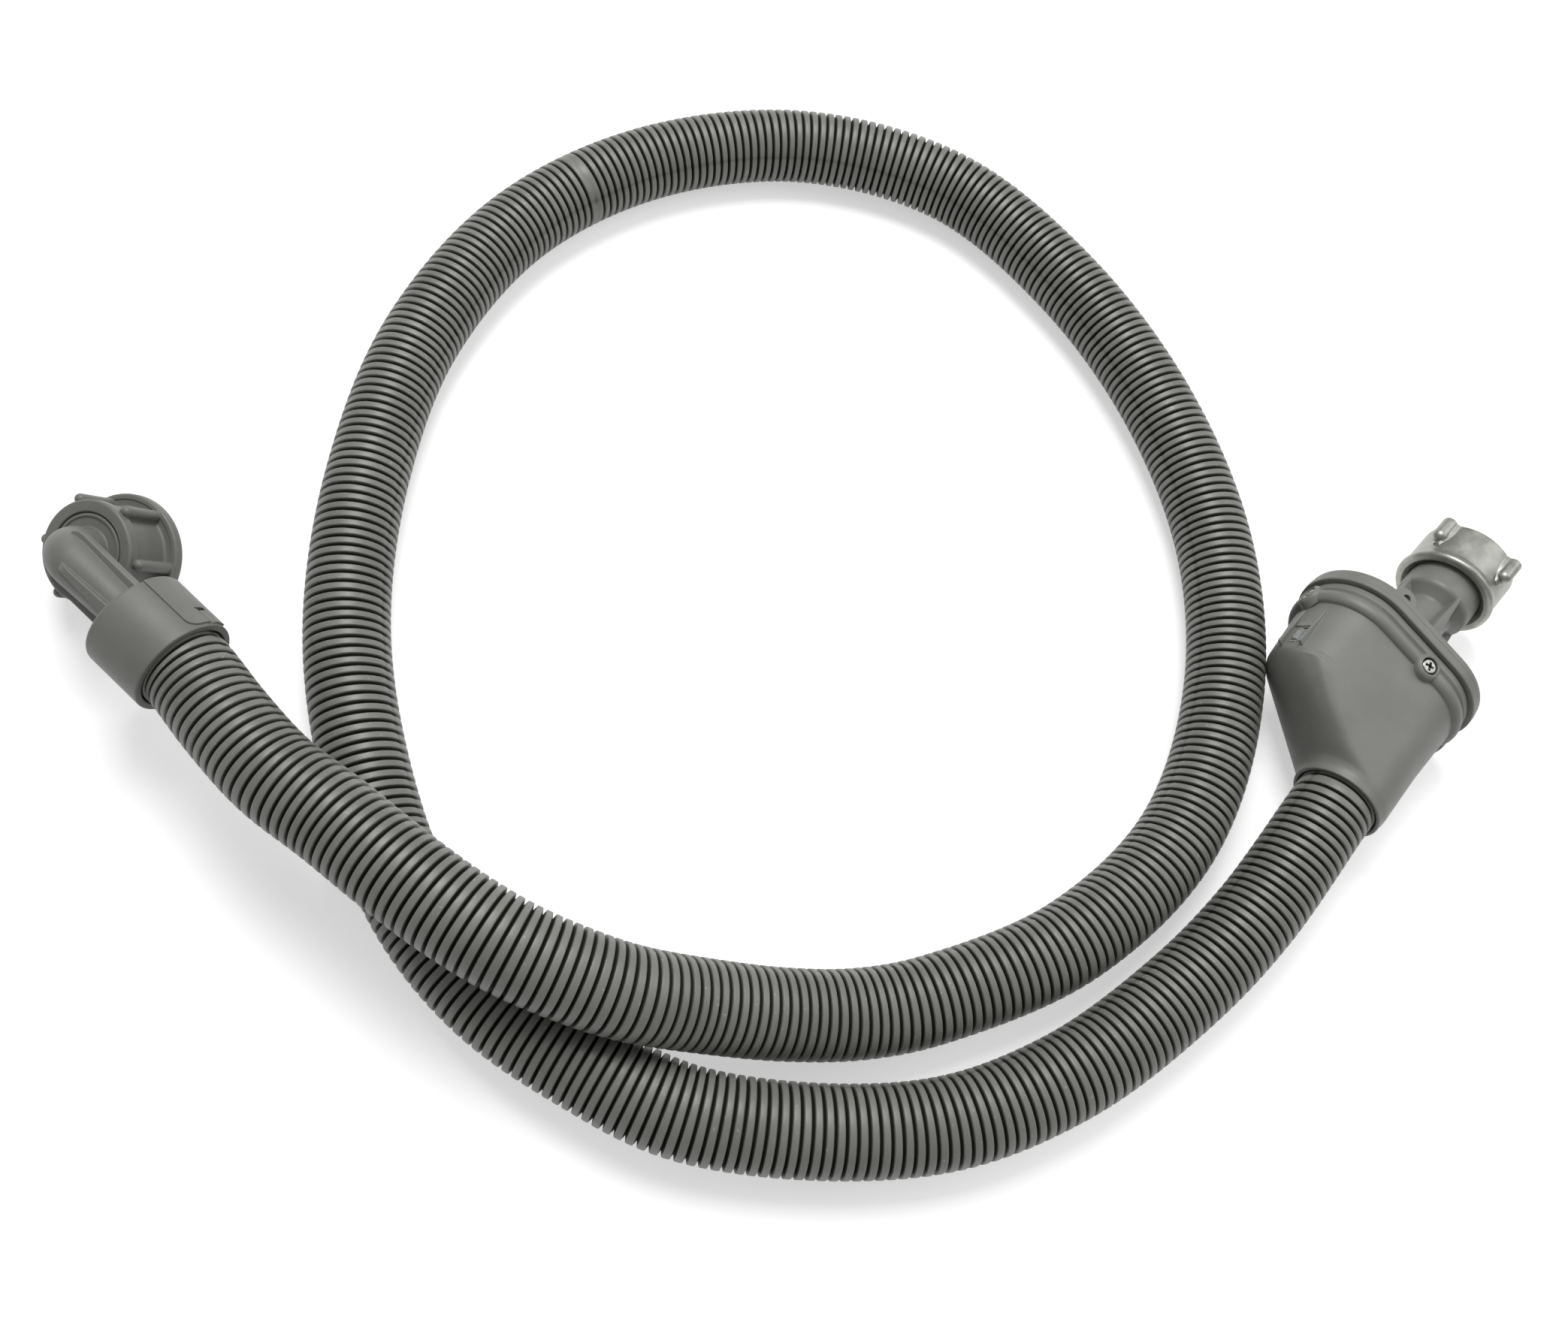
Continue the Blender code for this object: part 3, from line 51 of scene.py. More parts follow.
# Hose
HOSE_RADIUS = 13.0 * MM
RING_PITCH = 3.1 * MM
RING_CREST = 0.62  # share of the pitch that the flat crest takes
GROOVE_DEPTH = 1.8 * MM
HOSE_SIDES = 40
SEAM_DIP = 0.25 * MM  # the mould's parting line across each ring
PARTING_LINES = (-28.0, 152.0)  # degrees round the hose from its side
BAND_AT = 0.799  # m along the hose from the elbow to the plain wide band
BAND_RINGS = 2
RING_EDGE_DROP = 0.12 * MM  # the crest's rounded edges
ROUTE_SAMPLES = 1200
KNOT_SAMPLES = 60  # between two points of the route

# Threads of both union nuts
THREAD_MINOR = 12.1 * MM
THREAD_MAJOR = 13.2 * MM
THREAD_PITCH = 1.814 * MM
THREAD_SHORT = 0.15 * MM  # the rings stop this far short of the major radius
WASHER_THICKNESS = 2.6 * MM
WASHER_HOLE = 6.8 * MM

# Plastic nut and elbow
NUT_HEIGHT = 19.0 * MM
NUT_BODY = 14.8 * MM
NUT_RIM = 15.5 * MM
NUT_RIM_DEPTH = 3.8 * MM
NUT_FLANGE = 19.1 * MM
NUT_FLANGE_THICKNESS = 3.4 * MM
NUT_LIP = 2.8 * MM
NUT_RECESS = 11.8 * MM
NUT_RECESS_DEPTH = 1.2 * MM
GRIP_COUNT = 6
GRIP_RADIUS = 1.7 * MM
GRIP_REACH = 18.2 * MM
GRIP_PHASE = 25.0
ELBOW_NECK = 10.2 * MM
ELBOW_TUBE = 7.2 * MM
ELBOW_BORE = 5.6 * MM
ELBOW_RISE = 28.9 * MM
ELBOW_BEND = 7.4 * MM
RIB_WIDTH = 3.2 * MM
RIB_REACH = 8.6 * MM
ELBOW_ARM = 6.3 * MM  # the tube narrows to this at the collar
DISC_RADIUS = 11.3 * MM
DISC_RIM = 0.8 * MM
DISC_HEIGHT = 1.0 * MM  # over the nut's recess
DISC_HOLLOW = 0.45 * MM
ELBOW_FLANGE = 2.4 * MM
RIB_STARTS = ((90.0, 1.0 * MM), (180.0, 8.0 * MM), (270.0, 3.0 * MM))  # degrees round the outlet, start
PLUG_LENGTH = 2.0 * MM
BARB_RADIUS = 4.7 * MM
BARB_BORE = 2.8 * MM
BARB_LENGTH = 6.0 * MM
COLLAR_START = 32.0 * MM
COLLAR_END = 53.6 * MM
COLLAR_RADIUS = 15.5 * MM
COLLAR_WALL = 2.5 * MM
COLLAR_POCKET = 12.5 * MM
COLLAR_HOSE_DEPTH = 9.0 * MM
PAD_ANGLE = 58.0
PAD_HEIGHT = 0.6 * MM
PAD_LENGTH = 20.6 * MM
PAD_CORNER = 3.0 * MM
PAD_CUTS = 16  # so that its face follows the collar
SLOT_WIDTH = 4.6 * MM
SLOT_LENGTH = 1.4 * MM
SLOT_INSET = 6.2 * MM
SLOT_TAPER = 1.0 * MM

# Valve housing and cover
SEAM_LEFT = 13.8 * MM
SEAM_RIGHT = 11.3 * MM
SEAM_RADIUS = 20.3 * MM
BEAD_RADIUS = 20.9 * MM
BEAD_TOP = 3.4 * MM
BEAD_BOTTOM = 8.6 * MM
BEAD_ROUND = 1.9 * MM
BODY_RIGHT = 30.6 * MM
BODY_LEFT = 32.3 * MM
BODY_TOP = 19.0 * MM
SHOULDER_LEFT = 30.2 * MM
SHOULDER_DEPTH = 29.0 * MM
SHOULDER_RADIUS = 16.9 * MM
# (share of the way from the shoulder to the cone's end, squareness of the fold there)
FOLD = ((0.1, 0.52), (0.2, 0.42), (0.35, 0.36), (0.5, 0.36), (0.65, 0.42), (0.8, 0.6), (0.88, 0.8))
CONE_DEPTH = 49.5 * MM
CONE_RADIUS = 15.0 * MM
SOCKET_OFFSET = 16.6 * MM
SOCKET_RADIUS = 14.7 * MM
SOCKET_DEPTH = 53.0 * MM
SOCKET_HOSE_DEPTH = 6.0 * MM
HOUSING_WALL = 2.4 * MM
FLOOR_DEPTH = 43.5 * MM
PASSAGE_RADIUS = 8.6 * MM
COVER_RADIUS = 22.0 * MM
COVER_THICKNESS = 5.6 * MM
SKIRT_DEPTH = 9.5 * MM
SKIRT_WALL = 3.2 * MM
COVER_PLATE = 3.4 * MM
COVER_STEP = 2.6 * MM  # fine step line, this far under the cover's top
GASKET_HEIGHT = 1.8 * MM
GASKET_WIDTH = 1.2 * MM
GASKET_DEPTH = 1.4 * MM

SCREW_DEPTH = 6.0 * MM
SCREW_HEAD = 2.6 * MM
SCREW_HEAD_HEIGHT = 1.4 * MM
SCREW_SHANK = 1.4 * MM
SCREW_LENGTH = 6.0 * MM
SCREW_RECESS = 0.4 * MM
BOSS_RADIUS = 4.2 * MM
BOSS_HEIGHT = 1.3 * MM
BOSS_SINK = 3.5 * MM
BOSS_ROUND = 1.7 * MM
CROSS_TURNS = (20.0, 110.0)
SCREW_TOP_OFFSET = 4.6 * MM
SCREW_SIDE_OFFSET = 2.1 * MM

WINDOW_ANGLE = 21.0
WINDOW_TOP = 20.6 * MM
WINDOW_LENGTH = 6.2 * MM
WINDOW_WIDTH = 3.4 * MM
WINDOW_THICKNESS = 2.0 * MM
RAIL_OFFSET = 4.0 * MM
RAIL_WIDTH = 0.9 * MM
RAIL_HEIGHT = 1.5 * MM
RAIL_TOP = 12.5 * MM
RAIL_LENGTH = 16.0 * MM

STEM_RADIUS = 8.7 * MM
STEM_TOP = 28.5 * MM
STEM_BORE = 5.0 * MM
STEM_FILLET = 1.2 * MM
GUSSET_COUNT = 4
GUSSET_PHASE = 8.0
GUSSET_REACH = 14.5 * MM
GUSSET_FOOT = 5.0 * MM
GUSSET_TIP = 0.9 * MM
NECK_RADIUS = 12.6 * MM
NECK_TOP = 46.4 * MM
NECK_NOSE = 11.7 * MM
NECK_CONE = 3.0 * MM
NECK_BORE = 7.4 * MM
NECK_BORE_DEPTH = 12.5 * MM
EAR_ALONG = 14.2 * MM
EAR_ACROSS = 17.6 * MM
EAR_RADIUS = 4.6 * MM
EAR_THICKNESS = 2.4 * MM
EAR_HOLE = 1.5 * MM
EAR_HOLE_RISE = 2.1 * MM
EAR_LIFT = 1.2 * MM

# Metal union nut
METAL_BOTTOM = 38.3 * MM
METAL_TOP = 56.2 * MM
METAL_RADIUS = 16.3 * MM
METAL_BULGE = 17.0 * MM
METAL_BULGE_LENGTH = 3.6 * MM
METAL_MOUTH = 14.2 * MM
METAL_MOUTH_DEPTH = 1.3 * MM
METAL_LIP = 2.0 * MM
WING_COUNT = 4
WING_PHASE = 25.0
WING_RADIUS = 2.6 * MM
WING_LENGTH = 10.5 * MM
WING_REACH = 19.9 * MM
CLIP_RADIUS = 13.5 * MM
CLIP_THICKNESS = 1.4 * MM
CLIP_GROOVE_DEPTH = 0.9 * MM
CLIP_CAVITY = 2.8 * MM
STRAINER_FLANGE = 9.2 * MM
STRAINER_FLANGE_HEIGHT = 0.9 * MM

# Light
KEY_POWER = 13.0  # W
SIDE_POWER = 3.2  # W
WORLD_STRENGTH = 0.33
FLOOR_TONE = 0.74
FLOOR_GLOW = 0.5
FLOOR_SIZE = 6.0  # m from the centre to an edge

# Where the two ends lie, and the route between them
ELBOW_FACE = Vector((-216.1, 19.2, 9.96)) * MM
ELBOW_NUT_AXIS = Vector((-0.3725, -0.3952, 0.8397))
ELBOW_OUTLET = Vector((0.7503, -0.6608, 0.0219))
VALVE_SEAM = Vector((188.9, 5.1, 24.2)) * MM
VALVE_HEADING = 46.5
VALVE_ROLL = 11.0
ROUTE_MM = [
    (-172.5, -43.5, 37.2), (-157.5, -58.5, 38.4), (-140, -71, 39.4), (-120, -86, 40.4), (-105, -96, 40.2),
    (-90, -104, 38.9), (-73, -110, 35.8), (-58, -113.5, 31.8), (-36, -115, 24.0), (-12, -115.5, 17.6),
    (10, -114, 14.2), (32, -109, 13.05), (76, -90, 13.05), (114, -55, 13.05), (135.7, -4, 13.05),
    (139.7, 52, 13.05), (125, 110, 13.05), (95, 162, 13.05), (52, 202, 13.05), (-3, 214, 13.05),
    (-60, 199, 13.05), (-107, 163, 13.05), (-137, 110, 13.05), (-148.5, 54, 13.05), (-148.5, 0, 13.05),
    (-138.5, -44, 13.05), (-121.5, -83.5, 13.05), (-99, -110, 13.05), (-70, -129, 13.05), (-37, -143, 13.05),
    (27, -145, 13.05), (69, -131, 13.05), (108, -105, 13.6), (134, -81, 16.4),
]


def turn(degrees, axis="Z"):
    return Matrix.Rotation(math.radians(degrees), 4, axis)


def shift(x, y, z):
    return Matrix.Translation((x, y, z))


def axes_at(spot, x, y, z):
    return Matrix.Translation(spot) @ Matrix((x, y, z)).transposed().to_4x4()


elbow_side = ELBOW_NUT_AXIS.cross(ELBOW_OUTLET).normalized()
elbow_out = elbow_side.cross(ELBOW_NUT_AXIS).normalized()
ELBOW = axes_at(ELBOW_FACE, elbow_out, elbow_side, ELBOW_NUT_AXIS.normalized())
OUTLET = ELBOW @ shift(0.0, 0.0, ELBOW_RISE) @ turn(90.0, "Y")
to_tap = Vector((math.cos(math.radians(VALVE_HEADING)), math.sin(math.radians(VALVE_HEADING)), 0.0))
valve_x = Matrix.Rotation(math.radians(VALVE_ROLL), 3, to_tap) @ Vector((-to_tap.y, to_tap.x, 0.0))
VALVE = axes_at(VALVE_SEAM, valve_x, to_tap.cross(valve_x), to_tap)


# Camera first
def photograph_camera():
    lens = bpy.data.cameras.new("camera")
    lens.sensor_width = 36.0
    lens.lens = CAMERA_LENS
    lens.clip_start = 0.01
    camera = bpy.data.objects.new("camera", lens)
    camera.location = CAMERA_SPOT
    camera.rotation_euler = CAMERA_TURN
    bpy.context.scene.collection.objects.link(camera)
    bpy.context.scene.camera = camera


# Materials
def colour(code):
    """Linear colour from an sRGB hex code."""
    parts = [int(code[i:i + 2], 16) / 255.0 for i in (1, 3, 5)]
    return (*[p / 12.92 if p <= 0.04045 else ((p + 0.055) / 1.055) ** 2.4 for p in parts], 1.0)


def add_node(tree, kind, settings=None, feeds=None, **links):
    """A node with its settings, the (output, socket) it feeds, and each input's socket or value."""
    node = tree.nodes.new("ShaderNode" + kind)
    for name, value in (settings or {}).items():
        setattr(node, name, value)
    for name, value in links.items():
        key = int(name[1:]) if name[0] == "i" and name[1:].isdigit() else name.replace("_", " ")
        socket = node.inputs[key]
        if isinstance(value, bpy.types.NodeSocket):
            tree.links.new(value, socket)
        else:
            socket.default_value = value
    if feeds:
        tree.links.new(node.outputs[feeds[0]], feeds[1])
    return node


def start_material(name, roughness, metallic=0.0):
    """The material, its tree and its shader's inputs."""
    made = bpy.data.materials.new(name)
    made.use_nodes = True
    inputs = made.node_tree.nodes["Principled BSDF"].inputs
    inputs["Roughness"].default_value = roughness
    inputs["Metallic"].default_value = metallic
    return made, made.node_tree, inputs


def object_noise(tree, size, detail=2.0, rough=0.5):
    """Noise whose features are about this many metres across."""
    place = add_node(tree, "TexCoord").outputs["Object"]
    noise = add_node(tree, "TexNoise", Vector=place, Scale=1.0 / size, Detail=detail, Roughness=rough)
    return noise.outputs["Fac"]


def two_tone(tree, factor, low, dark, high, light):
    """Colour that goes from the dark hex code at the low factor to the light one at the high factor."""
    node = add_node(tree, "ValToRGB", Fac=factor)
    for element, position, code in zip(node.color_ramp.elements, (low, high), (dark, light)):
        element.position = position
        element.color = colour(code)
    return node.outputs["Color"]


def edge_mask(tree, radius):
    """1 on flat stretches and towards 0 on edges narrower than the radius, and the softened normal."""
    soft = add_node(tree, "Bevel", {"samples": 4}, Radius=radius).outputs["Normal"]
    hard = add_node(tree, "NewGeometry").outputs["Normal"]
    cosine = add_node(tree, "VectorMath", {"operation": "DOT_PRODUCT"}, i0=soft, i1=hard)
    spread = add_node(tree, "MapRange", Value=cosine.outputs["Value"], From_Min=0.9, From_Max=0.995)
    return spread.outputs["Result"], soft


def moulded_plastic(name, base, dark, edge_highlight_and_wear, roughness):
    """Injection-moulded polypropylene: satin and slightly mottled, spark-eroded grain, and edges painted
    lighter: a painted highlight along them, partly rubbed wear.
    """
    made, tree, inputs = start_material(name, roughness)
    broad = object_noise(tree, 14 * MM, 3.0)
    tone = two_tone(tree, broad, 0.35, dark, 0.65, base)
    flat, soft_normal = edge_mask(tree, 0.35 * MM)
    # Edges get the lighter colour: a painted highlight on every edge, partly rubbed wear
    add_node(tree, "Mix", {"data_type": "RGBA"}, (2, inputs["Base Color"]),
             i0=flat, i6=colour(edge_highlight_and_wear), i7=tone)
    smears = object_noise(tree, 5 * MM, 4.0, 0.6)
    add_node(tree, "MapRange", None, ("Result", inputs["Roughness"]),
             Value=smears, To_Min=roughness - 0.08, To_Max=roughness + 0.1)
    fine = object_noise(tree, 0.35 * MM, 2.0, 0.6)
    add_node(tree, "Bump", None, ("Normal", inputs["Normal"]),
             Strength=0.35, Distance=0.05 * MM, Height=fine, Normal=soft_normal)
    return made


def corrugated_plastic(name):
    """Blow-corrugated polypropylene: satin crests with small bright rub marks, and dark grooves whose
    darkness is painted shade.
    """
    made, tree, inputs = start_material(name, 0.42)
    height = add_node(tree, "Attribute", {"attribute_name": "crest"}).outputs["Fac"]
    crest = add_node(tree, "MapRange", {"interpolation_type": "SMOOTHSTEP"},
                     Value=height, From_Min=0.5, From_Max=0.92).outputs["Result"]
    broad = object_noise(tree, 22 * MM, 3.0)
    tone = two_tone(tree, broad, 0.3, "#6f706b", 0.7, "#7c7d77")
    # Painted shade: the grooves and the crests' rounded edges are coloured near black
    depth = add_node(tree, "Mix", {"data_type": "RGBA"}, i0=crest, i6=colour("#2b2b28"), i7=tone)
    marks = object_noise(tree, 1.1 * MM, 1.0, 0.4)
    rub = add_node(tree, "MapRange", Value=marks, From_Min=0.72, From_Max=0.78, To_Max=0.35)
    on_crest = add_node(tree, "Math", {"operation": "MULTIPLY"}, i0=rub.outputs["Result"], i1=crest)
    add_node(tree, "Mix", {"data_type": "RGBA"}, (2, inputs["Base Color"]),
             i0=on_crest.outputs["Value"], i6=depth.outputs[2], i7=colour("#b9bab4"))
    smears = object_noise(tree, 4 * MM, 3.0)
    add_node(tree, "MapRange", None, ("Result", inputs["Roughness"]),
             Value=smears, To_Min=0.34, To_Max=0.52)
    fine = object_noise(tree, 0.5 * MM)
    add_node(tree, "Bump", None, ("Normal", inputs["Normal"]),
             Strength=0.3, Distance=0.05 * MM, Height=fine)
    return made


def die_cast_zinc(name):
    """Die-cast zinc, tumbled: dull cloudy silver with pits, fine scratches, and edges painted brighter: a
    painted highlight along them, partly rubbed wear.
    """
    made, tree, inputs = start_material(name, 0.38, 1.0)
    cloud = object_noise(tree, 5 * MM, 4.0, 0.6)
    tone = two_tone(tree, cloud, 0.3, "#94958f", 0.7, "#b4b5af")
    flat, soft_normal = edge_mask(tree, 0.5 * MM)
    # Edges get the brighter colour: a painted highlight on every edge, partly rubbed wear
    add_node(tree, "Mix", {"data_type": "RGBA"}, (2, inputs["Base Color"]),
             i0=flat, i6=colour("#cfd0cb"), i7=tone)
    place = add_node(tree, "TexCoord").outputs["Object"]
    stretched = add_node(tree, "Mapping", Vector=place, Rotation=(0.3, 0.5, 0.8),
                         Scale=(1.0, 0.06, 1.0))
    lines = add_node(tree, "TexNoise", Vector=stretched.outputs["Vector"],
                     Scale=1.0 / (0.5 * MM), Detail=2.0)
    add_node(tree, "MapRange", None, ("Result", inputs["Roughness"]),
             Value=cloud, To_Min=0.38, To_Max=0.54)
    grain = object_noise(tree, 0.45 * MM, 3.0, 0.6)
    relief = add_node(tree, "Math", {"operation": "ADD"}, i0=grain, i1=lines.outputs["Fac"])
    add_node(tree, "Bump", None, ("Normal", inputs["Normal"]), Strength=0.35,
             Distance=0.06 * MM, Height=relief.outputs["Value"], Normal=soft_normal)
    return made


def zinc_plated_steel(name):
    """Zinc-plated steel: smooth metal with a faint cloudy passivation, and painted shade that darkens its
    recesses.
    """
    made, tree, inputs = start_material(name, 0.24, 1.0)
    cloud = object_noise(tree, 1.5 * MM, 3.0)
    tone = two_tone(tree, cloud, 0.3, "#8d8e8b", 0.7, "#b6b6b2")
    # Painted shade: an occlusion mask darkens the recesses towards near black
    corner = add_node(tree, "AmbientOcclusion", {"samples": 8}, Distance=0.9 * MM).outputs["AO"]
    recess_shade = add_node(tree, "MapRange", Value=corner, From_Min=0.35, From_Max=0.8)
    add_node(tree, "Mix", {"data_type": "RGBA"}, (2, inputs["Base Color"]),
             i0=recess_shade.outputs["Result"], i6=colour("#1c1c1b"), i7=tone)
    add_node(tree, "MapRange", None, ("Result", inputs["Roughness"]),
             Value=cloud, To_Min=0.24, To_Max=0.4)
    return made


def even_material(name, roughness, size, detail, rough, tones, bump):
    """A dull material with one noise for its tones and its relief; bump is (strength, depth, noise size)."""
    made, tree, inputs = start_material(name, roughness)
    cloud = object_noise(tree, size, detail, rough)
    tree.links.new(two_tone(tree, cloud, *tones), inputs["Base Color"])
    strength, depth, grain = bump
    height = object_noise(tree, grain) if grain else cloud
    add_node(tree, "Bump", None, ("Normal", inputs["Normal"]),
             Strength=strength, Distance=depth, Height=height)
    return made


def nitrile_rubber(name):
    """Moulded nitrile rubber: near black, dull, with a faint bloom."""
    tones = (0.35, "#1b1b1b", 0.7, "#2b2b2a")
    return even_material(name, 0.68, 2.5 * MM, 3.0, 0.5, tones, (0.3, 0.05 * MM, None))


def tinted_plastic(name, pale, deep, roughness):
    """Moulded acetal: even colour with a slight depth to it and a soft sheen."""
    tones = (0.3, deep, 0.7, pale)
    return even_material(name, roughness, 6 * MM, 2.0, 0.5, tones, (0.2, 0.04 * MM, 0.4 * MM))


def pressed_fibre(name):
    """Pressed cellulose fibre: matt straw colour with visible flecks."""
    tones = (0.35, "#b89f6b", 0.7, "#e2d3a8")
    return even_material(name, 0.92, 0.6 * MM, 4.0, 0.7, tones, (0.6, 0.2 * MM, None))


def clear_polycarbonate(name):
    """Clear polycarbonate: glassy with slight flow marks, so it glints."""
    made, tree, inputs = start_material(name, 0.06)
    inputs["Base Color"].default_value = colour("#dfe3e1")
    inputs["Transmission Weight"].default_value = 0.75
    inputs["IOR"].default_value = 1.58
    add_node(tree, "Bump", None, ("Normal", inputs["Normal"]),
             Strength=0.5, Distance=0.12 * MM, Height=object_noise(tree, 1.2 * MM))
    return made


# Shapes
def lathe(profile, steps=96):
    """A solid turned about z from the (radius, z) points of its section."""
    bm = bmesh.new()
    # Repeated points and edges along the axis are left out
    points = [p for p, before in zip(profile, profile[-1:] + profile[:-1]) if math.dist(p, before) > 1e-6]
    verts = [bm.verts.new((radius, 0.0, z)) for radius, z in points]
    pairs = zip(verts, verts[1:] + verts[:1])
    edges = [bm.edges.new(pair) for pair in pairs if pair[0].co.x + pair[1].co.x > 1e-7]
    bmesh.ops.spin(bm, geom=verts + edges, cent=(0, 0, 0), axis=(0, 0, 1), angle=2 * math.pi, steps=steps,
                   use_merge=True)
    bmesh.ops.remove_doubles(bm, verts=bm.verts, dist=2e-7)
    bmesh.ops.recalc_face_normals(bm, faces=bm.faces)
    return bm


def arc(centre, radius, start, end, count=5):
    """(radius, z) points on a round corner of a profile, angles in degrees."""
    angles = [math.radians(start + (end - start) * i / count) for i in range(count + 1)]
    return [(centre[0] + radius * math.cos(a), centre[1] + radius * math.sin(a)) for a in angles]


def grown(outlines):
    """A closed solid through outlines of equal counts, each grown from the one before."""
    bm = bmesh.new()
    face = bm.faces.new([bm.verts.new(point) for point in outlines[0]])
    base = face
    for outline in outlines[1:]:
        kept = [] if face is base else [*face.edges, *face.verts]
        made = bmesh.ops.extrude_face_region(bm, geom=[face, *kept])["geom"]
        face = next(item for item in made if isinstance(item, bmesh.types.BMFace))
        for vert, point in zip(face.verts, outline):
            vert.co = point
    bmesh.ops.recalc_face_normals(bm, faces=bm.faces)
    return bm


def box(low, high, rounded=0.0):
    bm = bmesh.new()
    bmesh.ops.create_cube(bm, size=1.0)
    low, high = Vector(low), Vector(high)
    bm.transform(Matrix.Translation((low + high) / 2) @ Matrix.Diagonal((*(high - low), 1.0)))
    if rounded:
        bmesh.ops.bevel(bm, geom=bm.edges, offset=rounded, affect="EDGES", segments=3, profile=0.5,
                        material=-1, offset_type="OFFSET")
    return bm


def rod(radius, start, end, rounded=0.0, steps=40):
    profile = [(0.0, start), (radius, start)]
    if rounded:
        profile += arc((radius - rounded, end - rounded), rounded, 0.0, 90.0)
    else:
        profile += [(radius, end)]
    return lathe(profile + [(0.0, end)], steps)


def placed(bm, matrix):
    bm.transform(matrix)
    return bm


def oval(left, right, radius, z, fold=1.0, steps=28):
    """Racetrack outline; a fold under 1 squares the upper left quarter."""
    points = []
    for centre, start in ((left, -90.0), (right, 90.0)):
        for i in range(steps + 1):
            a = math.radians(start + 180.0 * i / steps)
            power = fold if 0.0 < a < math.radians(89.9) else 1.0
            points.append((centre + radius * math.copysign(abs(math.cos(a)) ** power, math.cos(a)),
                           radius * math.copysign(abs(math.sin(a)) ** power, math.sin(a)), z))
    return points


def joined(bm, operation, tools):
    """The bmesh after one Boolean for each tool; the tools are used up."""
    link = bpy.context.scene.collection.objects.link
    helpers = []
    for shape in [bm, *tools]:
        mesh = bpy.data.meshes.new("helper")
        shape.to_mesh(mesh)
        shape.free()
        helper = bpy.data.objects.new("helper", mesh)
        link(helper)
        helpers.append(helper)
    base = helpers[0]
    for other in helpers[1:]:
        modifier = base.modifiers.new("cut", "BOOLEAN")
        modifier.operation = operation
        modifier.solver = "EXACT"
        modifier.object = other
    bpy.context.view_layer.update()
    result = bmesh.new()
    result.from_object(base, bpy.context.evaluated_depsgraph_get())
    for helper in helpers:
        mesh = helper.data
        bpy.data.objects.remove(helper)
        bpy.data.meshes.remove(mesh)
    bmesh.ops.remove_doubles(result, verts=result.verts, dist=2e-6)
    bmesh.ops.dissolve_degenerate(result, edges=result.edges, dist=2e-6)
    return result


def add(bm, *tools):
    return joined(bm, "UNION", tools)


def cut(bm, *tools):
    return joined(bm, "DIFFERENCE", tools)


def piece(name, bm, place, finish, slot, body, *nodes, sharp=34.0):
    """The finished piece: in place in its mesh, smooth, with its material, on its body."""
    bm.transform(place)
    mesh = bpy.data.meshes.new(name)
    bm.to_mesh(mesh)
    bm.free()
    obj = bpy.data.objects.new(name, mesh)
    bpy.context.scene.collection.objects.link(obj)
    mesh.materials.append(finish)
    mesh.shade_smooth()
    mesh.set_sharp_from_angle(angle=math.radians(sharp))
    weights = obj.modifiers.new("Weighted normals", "WEIGHTED_NORMAL")
    weights.keep_sharp = True
    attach(obj, body)
    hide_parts(*nodes)
    return obj


# Hose
def blend(first, second, start, end, t):
    return first * (end - t) / (end - start) + second * (t - start) / (end - start)


def smooth_route(points, count):
    """This many points, evenly spaced, on a smooth curve through the given ones."""
    knots = np.array(points, float)
    chord = np.r_[0.0, np.cumsum(np.linalg.norm(np.diff(knots, axis=0), axis=1) ** 0.5)]
    dense = []
    for i in range(1, len(knots) - 2):
        t0, t1, t2, t3 = chord[i - 1:i + 3]
        p0, p1, p2, p3 = knots[i - 1:i + 3]
        for t in np.linspace(t1, t2, KNOT_SAMPLES, endpoint=False):
            a1, a2, a3 = blend(p0, p1, t0, t1, t), blend(p1, p2, t1, t2, t), blend(p2, p3, t2, t3, t)
            dense.append(blend(blend(a1, a2, t0, t2, t), blend(a2, a3, t1, t3, t), t1, t2, t))
    dense.append(knots[-2])
    dense = np.vstack([knots[0], dense, knots[-1]])
    along = np.r_[0.0, np.cumsum(np.linalg.norm(np.diff(dense, axis=0), axis=1))]
    wanted = np.linspace(0.0, along[-1], count)
    return np.column_stack([np.interp(wanted, along, dense[:, k]) for k in range(3)]), along[-1]


def hose_profile(length):
    """(distance along, radius, crest share) down one side of the hose, ring by ring."""
    rings = int(round(length / RING_PITCH))
    pitch = length / rings
    band = int(round(BAND_AT / pitch))
    half = pitch * RING_CREST / 2
    points = []
    # The crest share sets the painted groove shade: 1 on the crest, 0.85 at its edges, 0 in the groove
    shape = ((-1.0, RING_EDGE_DROP, 0.85), (-0.7, 0.0, 1.0), (0.7, 0.0, 1.0), (1.0, RING_EDGE_DROP, 0.85))
    for i in range(rings):
        middle = (i + 0.5) * pitch
        points += [(middle + half * share, HOSE_RADIUS - drop, crest) for share, drop, crest in shape]
        if not band <= i < band + BAND_RINGS - 1:
            points.append((middle + pitch / 2, HOSE_RADIUS - GROOVE_DEPTH, 0.0))
    return points


